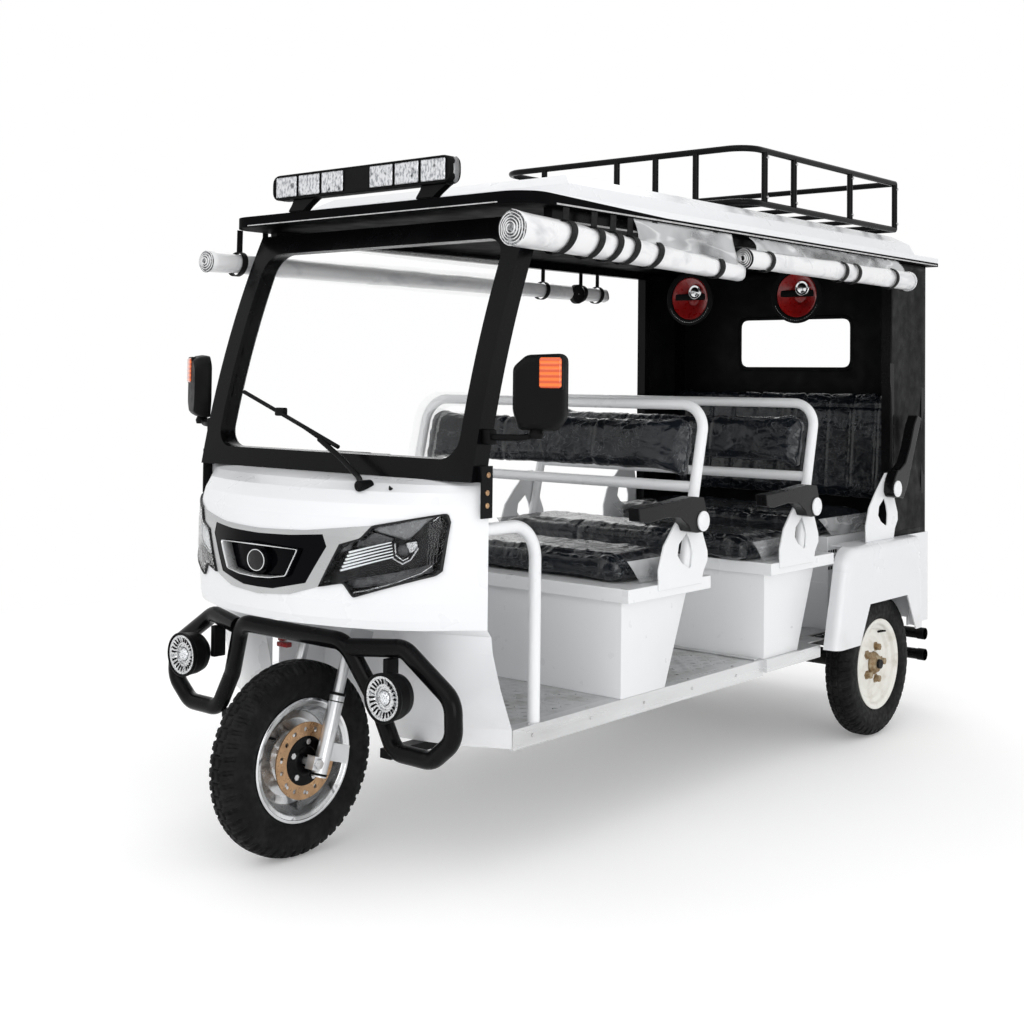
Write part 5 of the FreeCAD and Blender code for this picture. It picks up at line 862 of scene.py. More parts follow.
class LAMPS_OT_make(Operator):
    """Build each headlamp: tray, panels, light strips, projector and a clear lens that follows the nose"""
    bl_idname = "rickshaw.headlamps"
    bl_label = "Headlamps"

    def execute(self, context):
        rim = [(0.0015, 0), (0.0068, 0.0005), (0.008, 0.003), (0.0072, 0.0055), (0.002, 0.007), (-0.014, 0.01),
               (-0.03, 0.014)]
        wall = np.stack([on_nose(edge_loop(lamp_field(inset)), proud) for proud, inset in rim])
        tray = [tube(wall, False), sheet(on_nose(lamp_field(0.014), -0.03))]
        # The first panel is mid grey where the lamp's upper facet catches the light: painted light; the others are
        # smoked panels.
        plates = [nose_plate([(0.352, 0.915), (0.3995, 0.9022), (0.4268, 0.8925), (0.4475, 0.9184), (0.4654, 0.9442)],
                             [(0.3349, 0.924), (0.4007, 0.9425), (0.4513, 0.951), (0.4815, 0.956)], -0.014, -0.002),
                  nose_plate([(0.3047, 0.8726), (0.3482, 0.8722), (0.3872, 0.8761)],
                             [(0.312, 0.885), (0.332, 0.912), (0.3582, 0.913), (0.3976, 0.898)],
                             -0.013, -0.009, 1),
                  nose_plate([(0.2904, 0.7657), (0.4055, 0.7841), (0.477, 0.8157)],
                             [(0.2903, 0.784), (0.4052, 0.808), (0.4718, 0.83)], -0.01, -0.014, 1),
                  nose_plate([(0.256, 0.84), (0.265, 0.856), (0.2889, 0.864)],
                             [(0.26, 0.864), (0.276, 0.872), (0.3, 0.883)], -0.01, -0.008, 1)]
        ends = np.array([[(0.2672, 0.81), (0.3984, 0.8507)], [(0.2892, 0.858), (0.3934, 0.8885)]])
        strips = [nose_bar(-0.006, np.linspace(0.0029, 0.0014, 11), *(ends[0] * (1 - share) + ends[1] * share))
                  for share in np.linspace(0, 1, 6)]
        bars = [nose_bar(-0.007, 0.0013, (x, 0.826 + 0.004 * k), (x + 0.004, 0.94 + 0.004 * k))
                for k, x in enumerate((0.466, 0.4715, 0.477, 0.4825))]
        bars += [nose_bar(*bar) for bar in (
            (-0.005, 0.0014, (0.2207, 0.78), (0.2293, 0.8216), (0.2508, 0.8541)),
            (-0.007, 0.0011, (0.2903, 0.7657), (0.4055, 0.7841), (0.477, 0.8157), (0.4718, 0.8312),
             (0.4052, 0.8098), (0.2903, 0.7864), (0.2903, 0.7657)),
            (-0.001, 0.0009, (0.26, 0.869), (0.311, 0.888), (0.337, 0.923), (0.479, 0.956)))]
        # Painted highlights: silver strips and dots laid along the bright lines inside the lamp.
        shine = [nose_bar(*bar) for bar in (
            (-0.002, 0.0014, (0.2852, 0.752), (0.3373, 0.7628), (0.4055, 0.7861), (0.4555, 0.8101), (0.4752, 0.83)),
            (-0.002, 0.0026, (0.27, 0.774), (0.2823, 0.756)),
            (-0.003, 0.002, (0.226, 0.779), (0.228, 0.779)),
            (-0.003, 0.002, (0.236, 0.78), (0.238, 0.78)),
            (-0.003, 0.0018, (0.474, 0.944), (0.485, 0.956)),
            (-0.003, 0.0024, (0.3964, 0.8481), (0.4175, 0.8332), (0.4334, 0.8437), (0.4489, 0.8748)),
            (-0.003, 0.0015, (0.403, 0.856), (0.419, 0.842), (0.43, 0.85)),
            (-0.003, 0.002, (0.401, 0.886), (0.403, 0.86)))]
        shine.append(nose_plate([(0.4285, 0.862), (0.44, 0.864), (0.448, 0.874)],
                                [(0.425, 0.887), (0.435, 0.89), (0.445, 0.8915)], -0.01, -0.004))
        dome = lathe([(-0.014, 0), (-0.0125, 0.008), (-0.008, 0.0125), (-0.001, 0.0155), (0.006, 0.016),
                      (0.012, 0.016), (0.012, 0)], on_nose((0.4165, 0.868), -0.012), "y", 36)
        pair("lamp_tray", tray, "lamp_smoke", wall=0.0014)
        pair("lamp_plates", plates, ["lamp_grey", "lamp_shade"], wall=0.0014)
        pair("lamp_strips", strips, "light_strip")
        pair("lamp_bars", bars, "lamp_shade")
        pair("lamp_projector", [dome], "lamp_shade", slot="lamp_glass")
        pair("lamp_shine", shine, "silver_face")
        pair("lamp_lens", [sheet(on_nose(lamp_field(0.0045), 0.006))], "lamp_lens", "headlamps", wall=0.0025)
        return {"FINISHED"}


class GRILLE_OT_make(Operator):
    """Set the silver frame, the badge ring and its plain disc into the nose panel"""
    bl_idname = "rickshaw.grille"
    bl_label = "Nose panel"

    def execute(self, context):
        half = [(0, 0.8605), (0.153, 0.859), (0.14, 0.833), (0.116, 0.788), (0.06, 0.7795), (0, 0.7775)]
        outline = [(-0.153, 0.859)] + half + [(-x, z) for x, z in half[4:1:-1]]
        ring = soft_corners(outline, 0.007)
        way = ring - (0, 0.821)
        way /= np.linalg.norm(way, axis=1, keepdims=True)
        for name, look, sharp, loops in (
                ("panel_frame", "silver_trim", 60, ((0.003, 0.016), (0.0022, 0.018), (0.0004, 0.018),
                                                    (-0.0004, 0.016), (-0.0012, -0.012))),
                ("panel_foot", "black_bezel", 38, ((0.009, 0.002), (0.004, 0.013), (0.003, 0.0162)))):
            band = np.stack([on_nose(ring + way * grown, proud) for grown, proud in loops])
            piece(name, [tube(band, False)], look, sharp=sharp, wall=0.0008)
        centre = (0, float(nose_station(0, 0.819)) - 0.01, 0.819)
        badge = lathe([(0, 0.0268), (-0.0012, 0.027), (-0.0016, 0.028), (-0.0012, 0.029), (0, 0.0292)], centre,
                      "y", 72, 0.0004)
        disc = lathe([(0.014, 0), (-0.0006, 0), (-0.0004, 0.016), (0, 0.027), (0.002, 0.029), (0.014, 0.029)],
                     centre, "y", 72)
        for name, (points, faces), look in (("badge_ring", badge, "silver_trim"), ("badge_disc", disc, "lamp_smoke")):
            piece(name, [(points * (1.22, 1, 1), faces)], look)
        return {"FINISHED"}


class FOG_OT_make(Operator):
    """Turn the fog lamps: drum, bezel, ribbed bright face and centre lens"""
    bl_idname = "rickshaw.fog_lamps"
    bl_label = "Fog lamps"

    def execute(self, context):
        y = span("fog_lamps")[0][1] + 0.078
        centre = np.array([0.415, y, 0.5])
        drum = lathe([(0, 0), (0, 0.04), (-0.014, 0.054), (-0.034, 0.06), (-0.064, 0.062), (-0.068, 0.0638),
                      (-0.0775, 0.0638), (-0.0782, 0.06), (-0.074, 0.0588), (-0.055, 0.058), (-0.054, 0)],
                     centre, "y", 72, 0.0012)
        stem = block((0.3478, y - 0.008, 0.492), (0.367, y + 0.0335, 0.582), 0.003)
        angle = np.linspace(0, TAU, 168, endpoint=False)[:, None]
        radius, depth = np.array([(0.017, 0.06), (0.02, 0.064), (0.024, 0.062), (0.03, 0.062),
                                  (0.031, 0.066), (0.035, 0.0665), (0.0365, 0.069), (0.048, 0.072),
                                  (0.05, 0.0735), (0.056, 0.0745), (0.0585, 0.0725)]).T[:, None]
        slots = (np.sin(angle * 24) > 0.15) * (radius > 0.0355) * (radius < 0.049)
        face = (np.stack([np.cos(angle) * radius, 0.006 * slots - depth, np.sin(angle) * radius], -1) + centre,
                grid_faces(168, 11, True))
        bars = []
        for spot in np.arange(24) * TAU / 24 + TAU / 96:
            if abs(math.sin(spot * 2 + 0.6)) > 0.3:
                turn = np.array([(math.sin(spot), math.cos(spot)), (math.cos(spot), -math.sin(spot))])
                plan = np.array([(0.0365, -0.0016), (0.048, -0.002), (0.048, 0.002), (0.0365, 0.0016)]) @ turn
                bars.append(moved(prism(plan, -0.0722, -0.064, "y"), centre))
        lens = lathe([(-0.056, 0), (-0.056, 0.0165), (-0.067, 0.0185), (-0.0725, 0.015), (-0.0755, 0.008),
                      (-0.0765, 0)], centre, "y", 48)
        pair("fog_slots", bars, "black_bezel")
        pair("fog_drum", [drum, stem], "black_plastic", "fog_lamps")
        pair("fog_face", [face], "silver_face", sharp=25, wall=0.001)
        pair("fog_lens", [lens], "crystal")
        return {"FINISHED"}


# Roof: lamp bar, speakers and rolled curtains

class LAMPBAR_OT_make(Operator):
    """Build the roof's lamp bar: housing, six faceted windows, end caps and its two feet"""
    bl_idname = "rickshaw.lamp_bar"
    bl_label = "Roof lamp bar"

    def execute(self, context):
        low, high = span("light_bar")
        front, back = low[1], high[1]
        tall, middle, shift, reach = 0.0385, high[2] - 0.0392, -0.012, 0.372
        centre, half = np.array([shift, middle]), np.array([reach, tall])
        outline = soft_corners(centre + half * [(-1, -1), (1, -1), (1, 1), (-1, 1)], 0.03, 9)
        housing = rings(outline, [(y, (outline - centre) * (1 - draw / half) + centre) for y, draw in (
            (front + 0.003, 0.0055), (front + 0.0005, 0.004), (front, 0.0016), (front + 0.003, 0),
            (back - 0.008, 0), (back, 0.007))])
        under = middle - tall
        feet, roof = [], 1.8152
        for side in (-0.27, 0.27):
            plan = soft_corners([(side - 0.055, roof), (side + 0.012, roof), (side + 0.03, 1.83),
                                 (side + 0.07, under + 0.002), (side - 0.03, under + 0.002),
                                 (side - 0.034, 1.84)], 0.01)
            feet += [prism(plan[:, ::-1], y - 0.002, y + 0.002, "y") for y in (front + 0.014, back - 0.014)]
            feet += [block((side - 0.05, front + 0.012, roof), (side + 0.008, back - 0.012, 1.819), 0.001, 3),
                     block((side - 0.03, front + 0.012, under - 0.003), (side + 0.066, back - 0.012, under + 0.003),
                           0.001, 3)]
        nuts = [head for side in (-0.296, 0.244)
                for head in bolts(0.012, 2, (side, (front + back) / 2, 1.8188), 0.005, 0.003, "z")]
        piece("bar_housing", [housing], "black_plastic", node="light_bar")
        piece("bar_feet", feet, "black_plastic")
        piece("bar_bolts", nuts, "steel")
        u, v = np.linspace(-1, 1, 25), np.linspace(-1, 1, 19)[:, None]
        edge = np.clip((1 - np.abs(u)) / 0.06, 0, 1) * np.clip((1 - np.abs(v)) / 0.06, 0, 1)
        facet = (np.abs((u * 1.5 + 0.5) % 1 - 0.5) + np.abs((v * 1.5 + 0.5) % 1 - 0.5)) * -0.0032
        windows = [sheet(np.stack([x + u * (0.0465 - 0.002 * (np.abs(v) > 0.9)), front - 0.0004 + facet * edge,
                                   middle + v * 0.0305 + 0 * u], -1))
                   for x in np.array([-3, -2, -1, 1, 2, 3]) * 0.1025 + shift]
        piece("bar_windows", windows, "lamp_crystal", sharp=10, wall=0.0006)
        turn = np.linspace(-TAU / 4, TAU / 4, 15)
        ends = [sheet(np.stack([np.stack([
            shift + side * (reach - tall * 0.35 + 0.35 * tall * np.cos(turn) + out),
            np.full(15, (front + back) / 2 + (k - 1) * 0.012), middle + radius * 1.12 * np.sin(turn)], 1)
            for k, (out, radius) in enumerate(((0.0008, 0.026), (0.0014, 0.03), (0.0008, 0.0335)))]))
            for side in (1, -1)]
        piece("bar_ends", ends, "lamp_grey", wall=0.0006)
        return {"FINISHED"}


class SPEAKERS_OT_make(Operator):
    """Turn the two speakers: basket, red cone, silver dome and a dotted rim"""
    bl_idname = "rickshaw.speakers"
    bl_label = "Speakers"

    def execute(self, context):
        for name, side in (("left", 0.249), ("right", -0.249)):
            x, y, z = centre = np.array([side, 1.048, 1.656])
            basket = lathe([(-0.035, 0.0745), (-0.035, 0.093), (-0.029, 0.0935), (-0.026, 0.086), (0.002, 0.066),
                            (0.018, 0.044), (0.02, 0.04), (0.034, 0.039), (0.034, 0), (0.01, 0), (0.008, 0.034),
                            (-0.016, 0.066), (-0.03, 0.0735)], centre, "y", 72, 0.0015)
            bridge = block((x - 0.073, 1.0205, 1.65), (x + 0.073, 1.0285, 1.672), 0.003)
            hanger = block((x - 0.01, 1.04, 1.733), (x + 0.01, 1.056, 1.761), 0.003)
            cone = lathe([(-0.029, 0.0745), (-0.033, 0.07), (-0.029, 0.064), (-0.01, 0.03), (-0.004, 0.024),
                          (0, 0.024), (0, 0), (0.006, 0), (0.006, 0.03), (-0.022, 0.066)], centre, "y", 72)
            dome = lathe([(-0.034, 0), (-0.033, 0.01), (-0.028, 0.0165), (-0.03, 0.0235), (-0.026, 0.026),
                          (-0.016, 0.026), (-0.016, 0)], (x + 0.018, y, 1.678), "y", 40, 0.0012)
            dots = [lathe([(-0.0015, 0), (-0.001, 0.0012), (0.0005, 0.0016), (0.0005, 0)],
                          (x + 0.0835 * math.cos(angle), y - 0.0352, z + 0.0835 * math.sin(angle)), "y", 8)
                    for angle in np.linspace(math.radians(205), math.radians(335), 26)]
            for part, patches, look in (("basket", [basket, hanger, bridge], "black_plastic"),
                                        ("cone", [cone], "red_cone"), ("dome", [dome], "chrome"),
                                        ("dots", dots, "silver_face")):
                grown = [((points - centre) * (1.2, 1, 1.2) + centre, faces) for points, faces in patches]
                piece("speaker_%s_%s" % (part, name), grown, look,
                      node="speakers" if (part, name) == ("basket", "left") else None)
        return {"FINISHED"}


# Each roll: x, ends' y and z, radii, turns, straps as shares of its length, and the seed of its ruffles
ROLLS = {
    "front_left": (0.622, (-1.1625, -0.038), (1.705, 1.662), (0.053, 0.0315), 5,
                   (0.18, 0.295, 0.375, 0.45, 0.56, 0.87), 1),
    "rear_left": (0.64, (-0.0375, 1.18), (1.705, 1.705), (0.0345, 0.04), 4, (0.11, 0.53, 0.61, 0.86), 2),
    "right": (-0.618, (-1.187, 0.912), (1.672, 1.672), (0.039, 0.035), 4, (0.06, 0.11, 0.8, 0.92, 0.975), 3),
}


def between(ends, share):
    """A value on the way from one end to the other: a + (b - a) share."""
    return ends[0] + (ends[1] - ends[0]) * share


def roll_patch(side, ends, levels, radii, layers, straps, seed, rows=72):
    """A rolled curtain and its flat size: a spiral r = R (0.2 + 0.8 a/a_end) carried along the roof's edge.

    R runs from the first radius to the last, dips at each strap by a bell curve, and is ruffled by soft noise.
    """
    share = np.linspace(0, 1, rows)[:, None]
    turn = np.linspace(0, TAU * layers, int(layers * 26))[None]
    growth = turn / turn[0, -1]
    pinch = sum(np.exp(-((share - place) / 0.012) ** 2) for place in straps)
    radius = between(radii, share) * (1 - 0.1 * pinch)
    wave = 1 + (0.05 * np.sin(2 * turn + 1.3 * seed) + 0.03 * np.sin(5 * turn + seed)) * (0.4 + 0.6 * share)
    y = between(ends, share) + 0.01 * (1 - growth) * np.sign(share - 0.5)
    spots = np.stack([np.cos(turn) * 2 + 0 * share, y * 9, np.sin(turn) * 2 + 0 * share], -1)
    ruffle = lattice_noise(spots, 1.0, seed) - 0.5
    reach = radius * (0.2 + 0.8 * growth) * (wave / 1.08) * (1 + 0.1 * ruffle * (1 - pinch))
    start = 0.6 + seed
    points = np.stack([side + reach * np.cos(turn + start), y,
                       between(levels, share) + reach * np.sin(turn + start)], -1)
    wound = float(np.mean(np.abs(np.diff(turn)) * reach[rows // 2, 1:]) * (turn.shape[1] - 1))
    return sheet(points), (abs(ends[1] - ends[0]), wound)


def strap_patches(side, ends, levels, radii, _, straps, seed):
    """Straps round a roll: flat bands, leaning along it, and a tab from each up to the roof."""
    patches = []
    half = 0.0135 if seed == 1 else 0.011
    edge = np.sign(side) * min(abs(side), 0.621)
    for share in straps:
        y, z, r = between(ends, share), between(levels, share), between(radii, share) * 0.965
        lean = 0.45 if share < 0.6 and seed == 1 else 0.15
        band = lathe([(-half, r), (-half, r + 0.0022), (half, r + 0.0022), (half, r)], (side, y, z), "y", 48,
                     0.0006, 3)
        band[0][..., 1] += lean * (band[0][..., 2] - z)
        top = z + math.sqrt(r * r - 0.0001)
        path = np.array([(side, y + lean * r, top), ((side + edge) / 2, y + lean * r * 1.1, (top + 1.7815) / 2),
                         (edge, y + lean * r * 1.2, 1.7815)])
        tab = np.stack([path - (0, half, 0), path + (0, half, 0)])
        tab = np.concatenate([tab, tab[::-1] + (0.0022, 0, 0)])
        patches += [band, (tab, grid_faces(4, 3, True) + [[0, 3, 6, 9], [2, 5, 8, 11]])]
    return patches


class CURTAINS_OT_make(Operator):
    """Roll the white side curtains, hang them in black straps and add the clear skirts above them"""
    bl_idname = "rickshaw.curtains"
    bl_label = "Rolled curtains"

    def execute(self, context):
        for name, roll in ROLLS.items():
            patch, cut = roll_patch(*roll)
            rolled = piece("curtain_" + name, [patch], "curtain_white", sharp=60, wall=0.0014,
                           node="curtain_rolls" if name == "front_left" else None)
            straps = piece("straps_" + name, strap_patches(*roll), "black_strap")
        s, t = np.linspace(0, 1, 70)[None], np.linspace(0, 1, 16)[:, None]
        for name, ends, side, low, drop, tall in (("front", (-0.62, -0.08), 0.642, 1.672, 0.02, 0.135),
                                                  ("rear", (0.02, 1.12), 0.654, 1.735, 0, 0.055)):
            y = between(ends, s) + 0 * t
            z = 1.781 + (low - drop * s - 1.781) * t
            wrinkle_and_highlight = lattice_noise(np.stack([0 * y, y * 22, z * 9], -1), 1.0, 7) - 0.5
            x = between((0.6215, side), t) + (wrinkle_and_highlight * 0.016 + 0.006) * np.sin(math.pi * t)
            film = piece("skirt_" + name, [sheet(np.stack([x, y, z], -1))], "clear_film", sharp=70, wall=0.0008)
        discs = []
        for y, radius, way, look in ((-0.0375, 0.034, -1, 0), (1.18, 0.038, 1, 1)):
            profile = [(way * (out - 0.006), radius * share) for share, out in (
                (1, 0), (1, 0.004), (0.86, 0.006), (0.84, 0.003), (0.66, 0.007), (0.62, 0.003), (0.44, 0.008),
                (0.4, 0.004), (0.2, 0.009), (0, 0.009), (0, 0))]
            discs.append((*lathe(profile, (0.64, y, 1.705), "y", 48), look))
        for centre, radius in (((0.622, -1.1625, 1.705), 0.047), ((-0.618, -1.187, 1.672), 0.034)):
            discs.append((*lathe([(-0.007, 0), (0.001, radius), (0.004, radius), (0.004, 0)], centre, "y", 40), 2))
        knob = lathe([(-0.012, 0), (-0.012, 0.04), (0.012, 0.04), (0.012, 0)], (-0.6, 0.7, 1.668), "x", 40, 0.004)
        piece("curtain_ends", [*discs, knob], ["black_strap", "curtain_white", "rolled_window"])
        return {"FINISHED"}


# Mirrors, wiper, armrests

class MIRRORS_OT_make(Operator):
    """Build the mirrors: boxy chamfered housings, amber lenses, glass and short black arms"""
    bl_idname = "rickshaw.mirrors"
    bl_label = "Mirrors"

    def execute(self, context):
        x0, x1, y0, y1, z0, z1 = 0.6305, 0.7735, -1.166, -1.114, 1.18, span("mirrors")[1][2]
        outline = soft_corners([(x0, z0 + 0.05), (x0 + 0.016, z0), (x1 - 0.026, z0), (x1, z0 + 0.034),
                                (x1, z1 - 0.012), (x1 - 0.014, z1), (x0 + 0.034, z1 - 0.004), (x0, z1 - 0.034)], 0.012)
        middle = np.array([(x0 + x1) / 2, (z0 + z1) / 2])
        shell = rings(outline, [(y, middle + (outline - middle) * size) for y, size in (
            (y0, 0.8), (y0 + 0.006, 0.88), (y0 + 0.02, 0.965), (y0 + 0.04, 1), (y1 - 0.006, 1), (y1, 0.985),
            (y1, 0.94), (y1 - 0.008, 0.93))])
        glass = prism((middle + (outline - middle) * 0.925)[:, ::-1], y1 - 0.009, y1 - 0.005, "y")
        amber = block((x1 - 0.068, y0 - 0.004, z1 - 0.09), (x1 - 0.008, y0 + 0.02, z1 - 0.01), 0.007, 4)
        bezel = block((x1 - 0.072, y0 - 0.001, z1 - 0.094), (x1 - 0.005, y0 + 0.018, z1 - 0.007), 0.006, 3)
        arm = pipe(soft_corners([(0.556, -1.183, 1.162), (0.6, -1.183, 1.162), (0.66, -1.15, 1.162),
                                 (0.69, -1.137, 1.172), (0.69, -1.137, 1.196)], 0.02, 6, False), 0.0088, 16)
        clamp = block((0.5585, -1.2, 1.142), (0.584, -1.166, 1.182), 0.005)
        boot = lathe([(1.16, 0), (1.16, 0.017), (1.172, 0.02), (1.186, 0.014), (1.186, 0)], (0.69, -1.137, 0),
                     "z", 28, 0.002)
        lean = math.radians(27)
        pivot = np.array([(x0 + x1) / 2, (y0 + y1) / 2, 0])
        about = np.array([[math.cos(lean), math.sin(lean), 0], [-math.sin(lean), math.cos(lean), 0], [0, 0, 1]])

        def toed(patch):
            """The housing turned about its upright middle line, so that its glass faces the driver."""
            return (patch[0] - pivot) @ about + pivot, patch[1]

        pair("mirror_shell", [toed(shell), toed(bezel), arm, clamp, boot], "black_plastic", "mirrors", sharp=32)
        pair("mirror_glass", [toed(glass)], "mirror_glass", sharp=32)
        pair("mirror_amber", [toed(amber)], "amber_lens", sharp=32)
        return {"FINISHED"}


class CAB_OT_make(Operator):
    """Add the small parts round the cab: wiper, washer jet, wiring plug, strap bolts and meter"""
    bl_idname = "rickshaw.cab_details"
    bl_label = "Cab details"

    def execute(self, context):
        blade = pipe([(-0.3595, -1.236, 1.2657), (-0.1684, -1.252, 1.205), (0.1046, -1.2817, 1.1206)], 0.0062, 10)
        rubber = pipe([(-0.358, -1.242, 1.2652), (0.103, -1.2877, 1.1211)], 0.0032, 8)
        knuckle = block((-0.186, -1.266, 1.199), (-0.15, -1.244, 1.223), 0.005)
        thin = pipe([(-0.168, -1.262, 1.213), (0.037, -1.284, 1.137)], 0.003, 8)
        thick = pipe(soft_corners([(0.03, -1.284, 1.14), (0.13, -1.292, 1.09), (0.214, -1.308, 1.046),
                                   (0.272, -1.35, 1.027)], 0.02, 5, False), 0.0078, 14)
        boss = lathe([(-0.012, 0), (-0.012, 0.0145), (0.036, 0.015), (0.036, 0)], (0.272, -1.354, 1.027), "y", 28,
                     0.004)
        piece("wiper_arm", [blade, rubber, knuckle, thin, thick, boss], "black_plastic", node="wiper")
        jet = pipe([(0.346, -1.308, 1.019), (0.35, -1.322, 1.022), (0.355, -1.33, 1.029)], [0.004, 0.005, 0.002], 10)
        piece("washer_jet", [jet], "black_plastic")
        plugs = [block((-0.235, -1.202, 0.52), (-0.19, -1.18, 0.534), 0.003),
                 block((-0.228, -1.204, 0.538), (-0.206, -1.182, 0.55), 0.003)]
        piece("wiring_plug", plugs, "red_cone")
        heads = [lathe([(0, 0), (0, 0.0075), (0.002, 0.0072), (0.0038, 0.005), (0.0044, 0)], (0.577, y, z), "x", 20)
                 for y, z in ((-1.196, 0.985), (-1.196, 1.018), (-1.192, 1.064))]
        piece("strap_bolts", heads + [mirrored(head) for head in heads], "copper_disc")
        piece("meter", [block((-0.085, -1.178, 1.0455), (0.085, -1.12, 1.1), 0.012, 6)], "black_plastic")
        return {"FINISHED"}


class ARMRESTS_OT_make(Operator):
    """Round the moulded armrests and cap their pivots"""
    bl_idname = "rickshaw.armrests"
    bl_label = "Armrests"

    def execute(self, context):
        for name, y, z in (("front", -0.296, 0.889), ("middle", 0.418, 0.889), ("rear", 1.0745, 0.914)):
            softened_copy("armrest_" + name, "arm_pad_" + name, "arm_black", 0.0085, name + "_armrest", 4)
            cap = lathe([(0, 0), (0, 0.0225), (0.006, 0.0225), (0.0085, 0.018), (0.0085, 0)],
                        (span("armrest_" + name)[1][0] + 0.0008, y, z), "x", 40, 0.0022)
            piece("pivot_cap_" + name, [cap], "box_paint")
        softened_copy("armrest_brackets", "bracket_plates", "box_paint", 0.0014)
        return {"FINISHED"}


# Seats

def vertex_values(mesh, what="co"):
    """The vertices' places or normals as rows of an array."""
    values = np.empty(len(mesh.vertices) * 3)
    mesh.vertices.foreach_get(what, values)
    return values.reshape(-1, 3)


def stuffed(name, node, seams, seed):
    """A padded piece from its CAD solid: inset, remeshed, blown up by the cloth solver, then seamed and creased.

    Each point may move by no more than the swell. A seam pulls the cover in by a bell curve across a plane, and
    creases stand along sharp ridges of soft noise.
    """
    sizes = bpy.context.scene.rickshaw_seats
    low, high = span(node)
    thing = copied(node, name)
    bpy.context.scene.collection.objects.link(thing)
    cleaned(thing.data, 1e-5)
    middle, half = (low + high) / 2, (high - low) / 2
    points = middle + (vertex_values(thing.data) - middle) * (half - sizes.shrink) / half
    thing.data.vertices.foreach_set("co", points.ravel())
    remesh = thing.modifiers.new("mesh", "REMESH")
    remesh.mode, remesh.voxel_size, remesh.adaptivity = "VOXEL", sizes.voxel, 0
    start = vertex_values(frozen(thing).data)
    swell(thing)
    shift = vertex_values(thing.data) - start
    size = np.linalg.norm(shift, axis=1, keepdims=True)
    puffed = start + shift * np.minimum(1, sizes.swell / np.maximum(size, 1e-9))
    thing.data.vertices.foreach_set("co", np.clip(puffed, low, high + (0, 0, 0.004)).ravel())
    smooth = thing.modifiers.new("smooth", "SUBSURF")
    smooth.levels = smooth.render_levels = 1
    frozen(thing)
    points = vertex_values(thing.data)
    depth = sizes.crease * (creases(points, 0.075, (1, 1.6, 0.8), seed)
                            + 0.7 * creases(points, 0.032, (1.3, 0.8, 1.0), seed + 9) - 0.55)
    for axis, place, dent in seams:
        depth -= dent * np.exp(-((points[:, axis] - place) / 0.007) ** 2)
    points = np.clip(points + vertex_values(thing.data, "normal") * depth[:, None], low, high + (0, 0, 0.006))
    thing.data.vertices.foreach_set("co", points.ravel())
    dress(thing, "leather", node=node, sharp=80)


def swell(thing):
    """Blow a cover up with the cloth solver under pressure, and keep the result."""
    scene = bpy.context.scene
    cloth = thing.modifiers.new("cloth", "CLOTH")
    settings = cloth.settings
    for name, value in dict(quality=4, mass=0.4, use_pressure=True, uniform_pressure_force=4, tension_stiffness=30,
                            compression_stiffness=30, shear_stiffness=12, bending_stiffness=0.4).items():
        setattr(settings, name, value)
    settings.effector_weights.gravity = 0
    cloth.point_cache.frame_start, cloth.point_cache.frame_end = 1, 16
    for number in range(1, 17):
        scene.frame_set(number)
    frozen(thing)
    scene.frame_set(1)


class CUSHIONS_OT_make(Operator):
    """Stuff the three seat cushions"""
    bl_idname = "rickshaw.cushions"
    bl_label = "Seat cushions"

    def execute(self, context):
        for seed, name in ((11, "cushion_front"), (31, "cushion_middle"), (51, "cushion_rear")):
            low, high = span("seat_" + name)
            third = (high[0] - low[0]) / 3
            stuffed(name, "seat_" + name, [(0, low[0] + third, 0.004), (0, high[0] - third, 0.004),
                                           (2, low[2] + 0.03, 0.003), (1, low[1] + 0.055, 0.0035)], seed)
        return {"FINISHED"}


class BACKS_OT_make(Operator):
    """Stuff the three back pads, the rear one ruched in channels"""
    bl_idname = "rickshaw.backs"
    bl_label = "Seat backs"

    def execute(self, context):
        for seed, name, parts, dent, drop, hem in ((71, "back_front", 3, 0.004, 0.03, 0.003),
                                                   (91, "back_middle", 3, 0.004, 0.03, 0.003),
                                                   (111, "back_rear", 10, 0.006, 0.085, 0.006)):
            low, high = span("seat_" + name)
            seams = [(0, place, dent) for place in np.linspace(low[0], high[0], parts + 1)[1:-1]]
            stuffed(name, "seat_" + name, seams + [(2, high[2] - drop, hem)], seed)
        return {"FINISHED"}


class FILM_OT_make(Operator):
    """Fold the clear film over both ends of the cushions"""
    bl_idname = "rickshaw.film"
    bl_label = "Film folds"

    def execute(self, context):
        u, v = np.linspace(0, 1, 26)[None], np.linspace(0, 1, 18)[:, None]
        for name in ("front", "middle", "rear"):
            low, high = span("seat_cushion_" + name)
            wide = high[1] - low[1] - 0.04
            y = low[1] + 0.02 + wide * (u * (1 - 0.45 * v) + 0.225 * v)
            z = high[2] - 0.012 - v * 0.07 + 0 * u
            fold = 0.0016 * np.sin(u * 21 + v * 5) * np.sin(math.pi * v)
            rough = lattice_noise(np.stack([y * 30, z * 30, 0 * y], -1), 1.0, 31) * 0.002
            out = 0.0015 + 0.004 * np.sin(math.pi * v) * np.sin(math.pi * u) + fold + rough
            for way, x in (("left", high[0] + out), ("right", low[0] - out)):
                film = piece("film_%s_%s" % (name, way), [sheet(np.stack([x, y, z], -1))], "clear_film", sharp=70,
                             wall=0.0005)
        return {"FINISHED"}


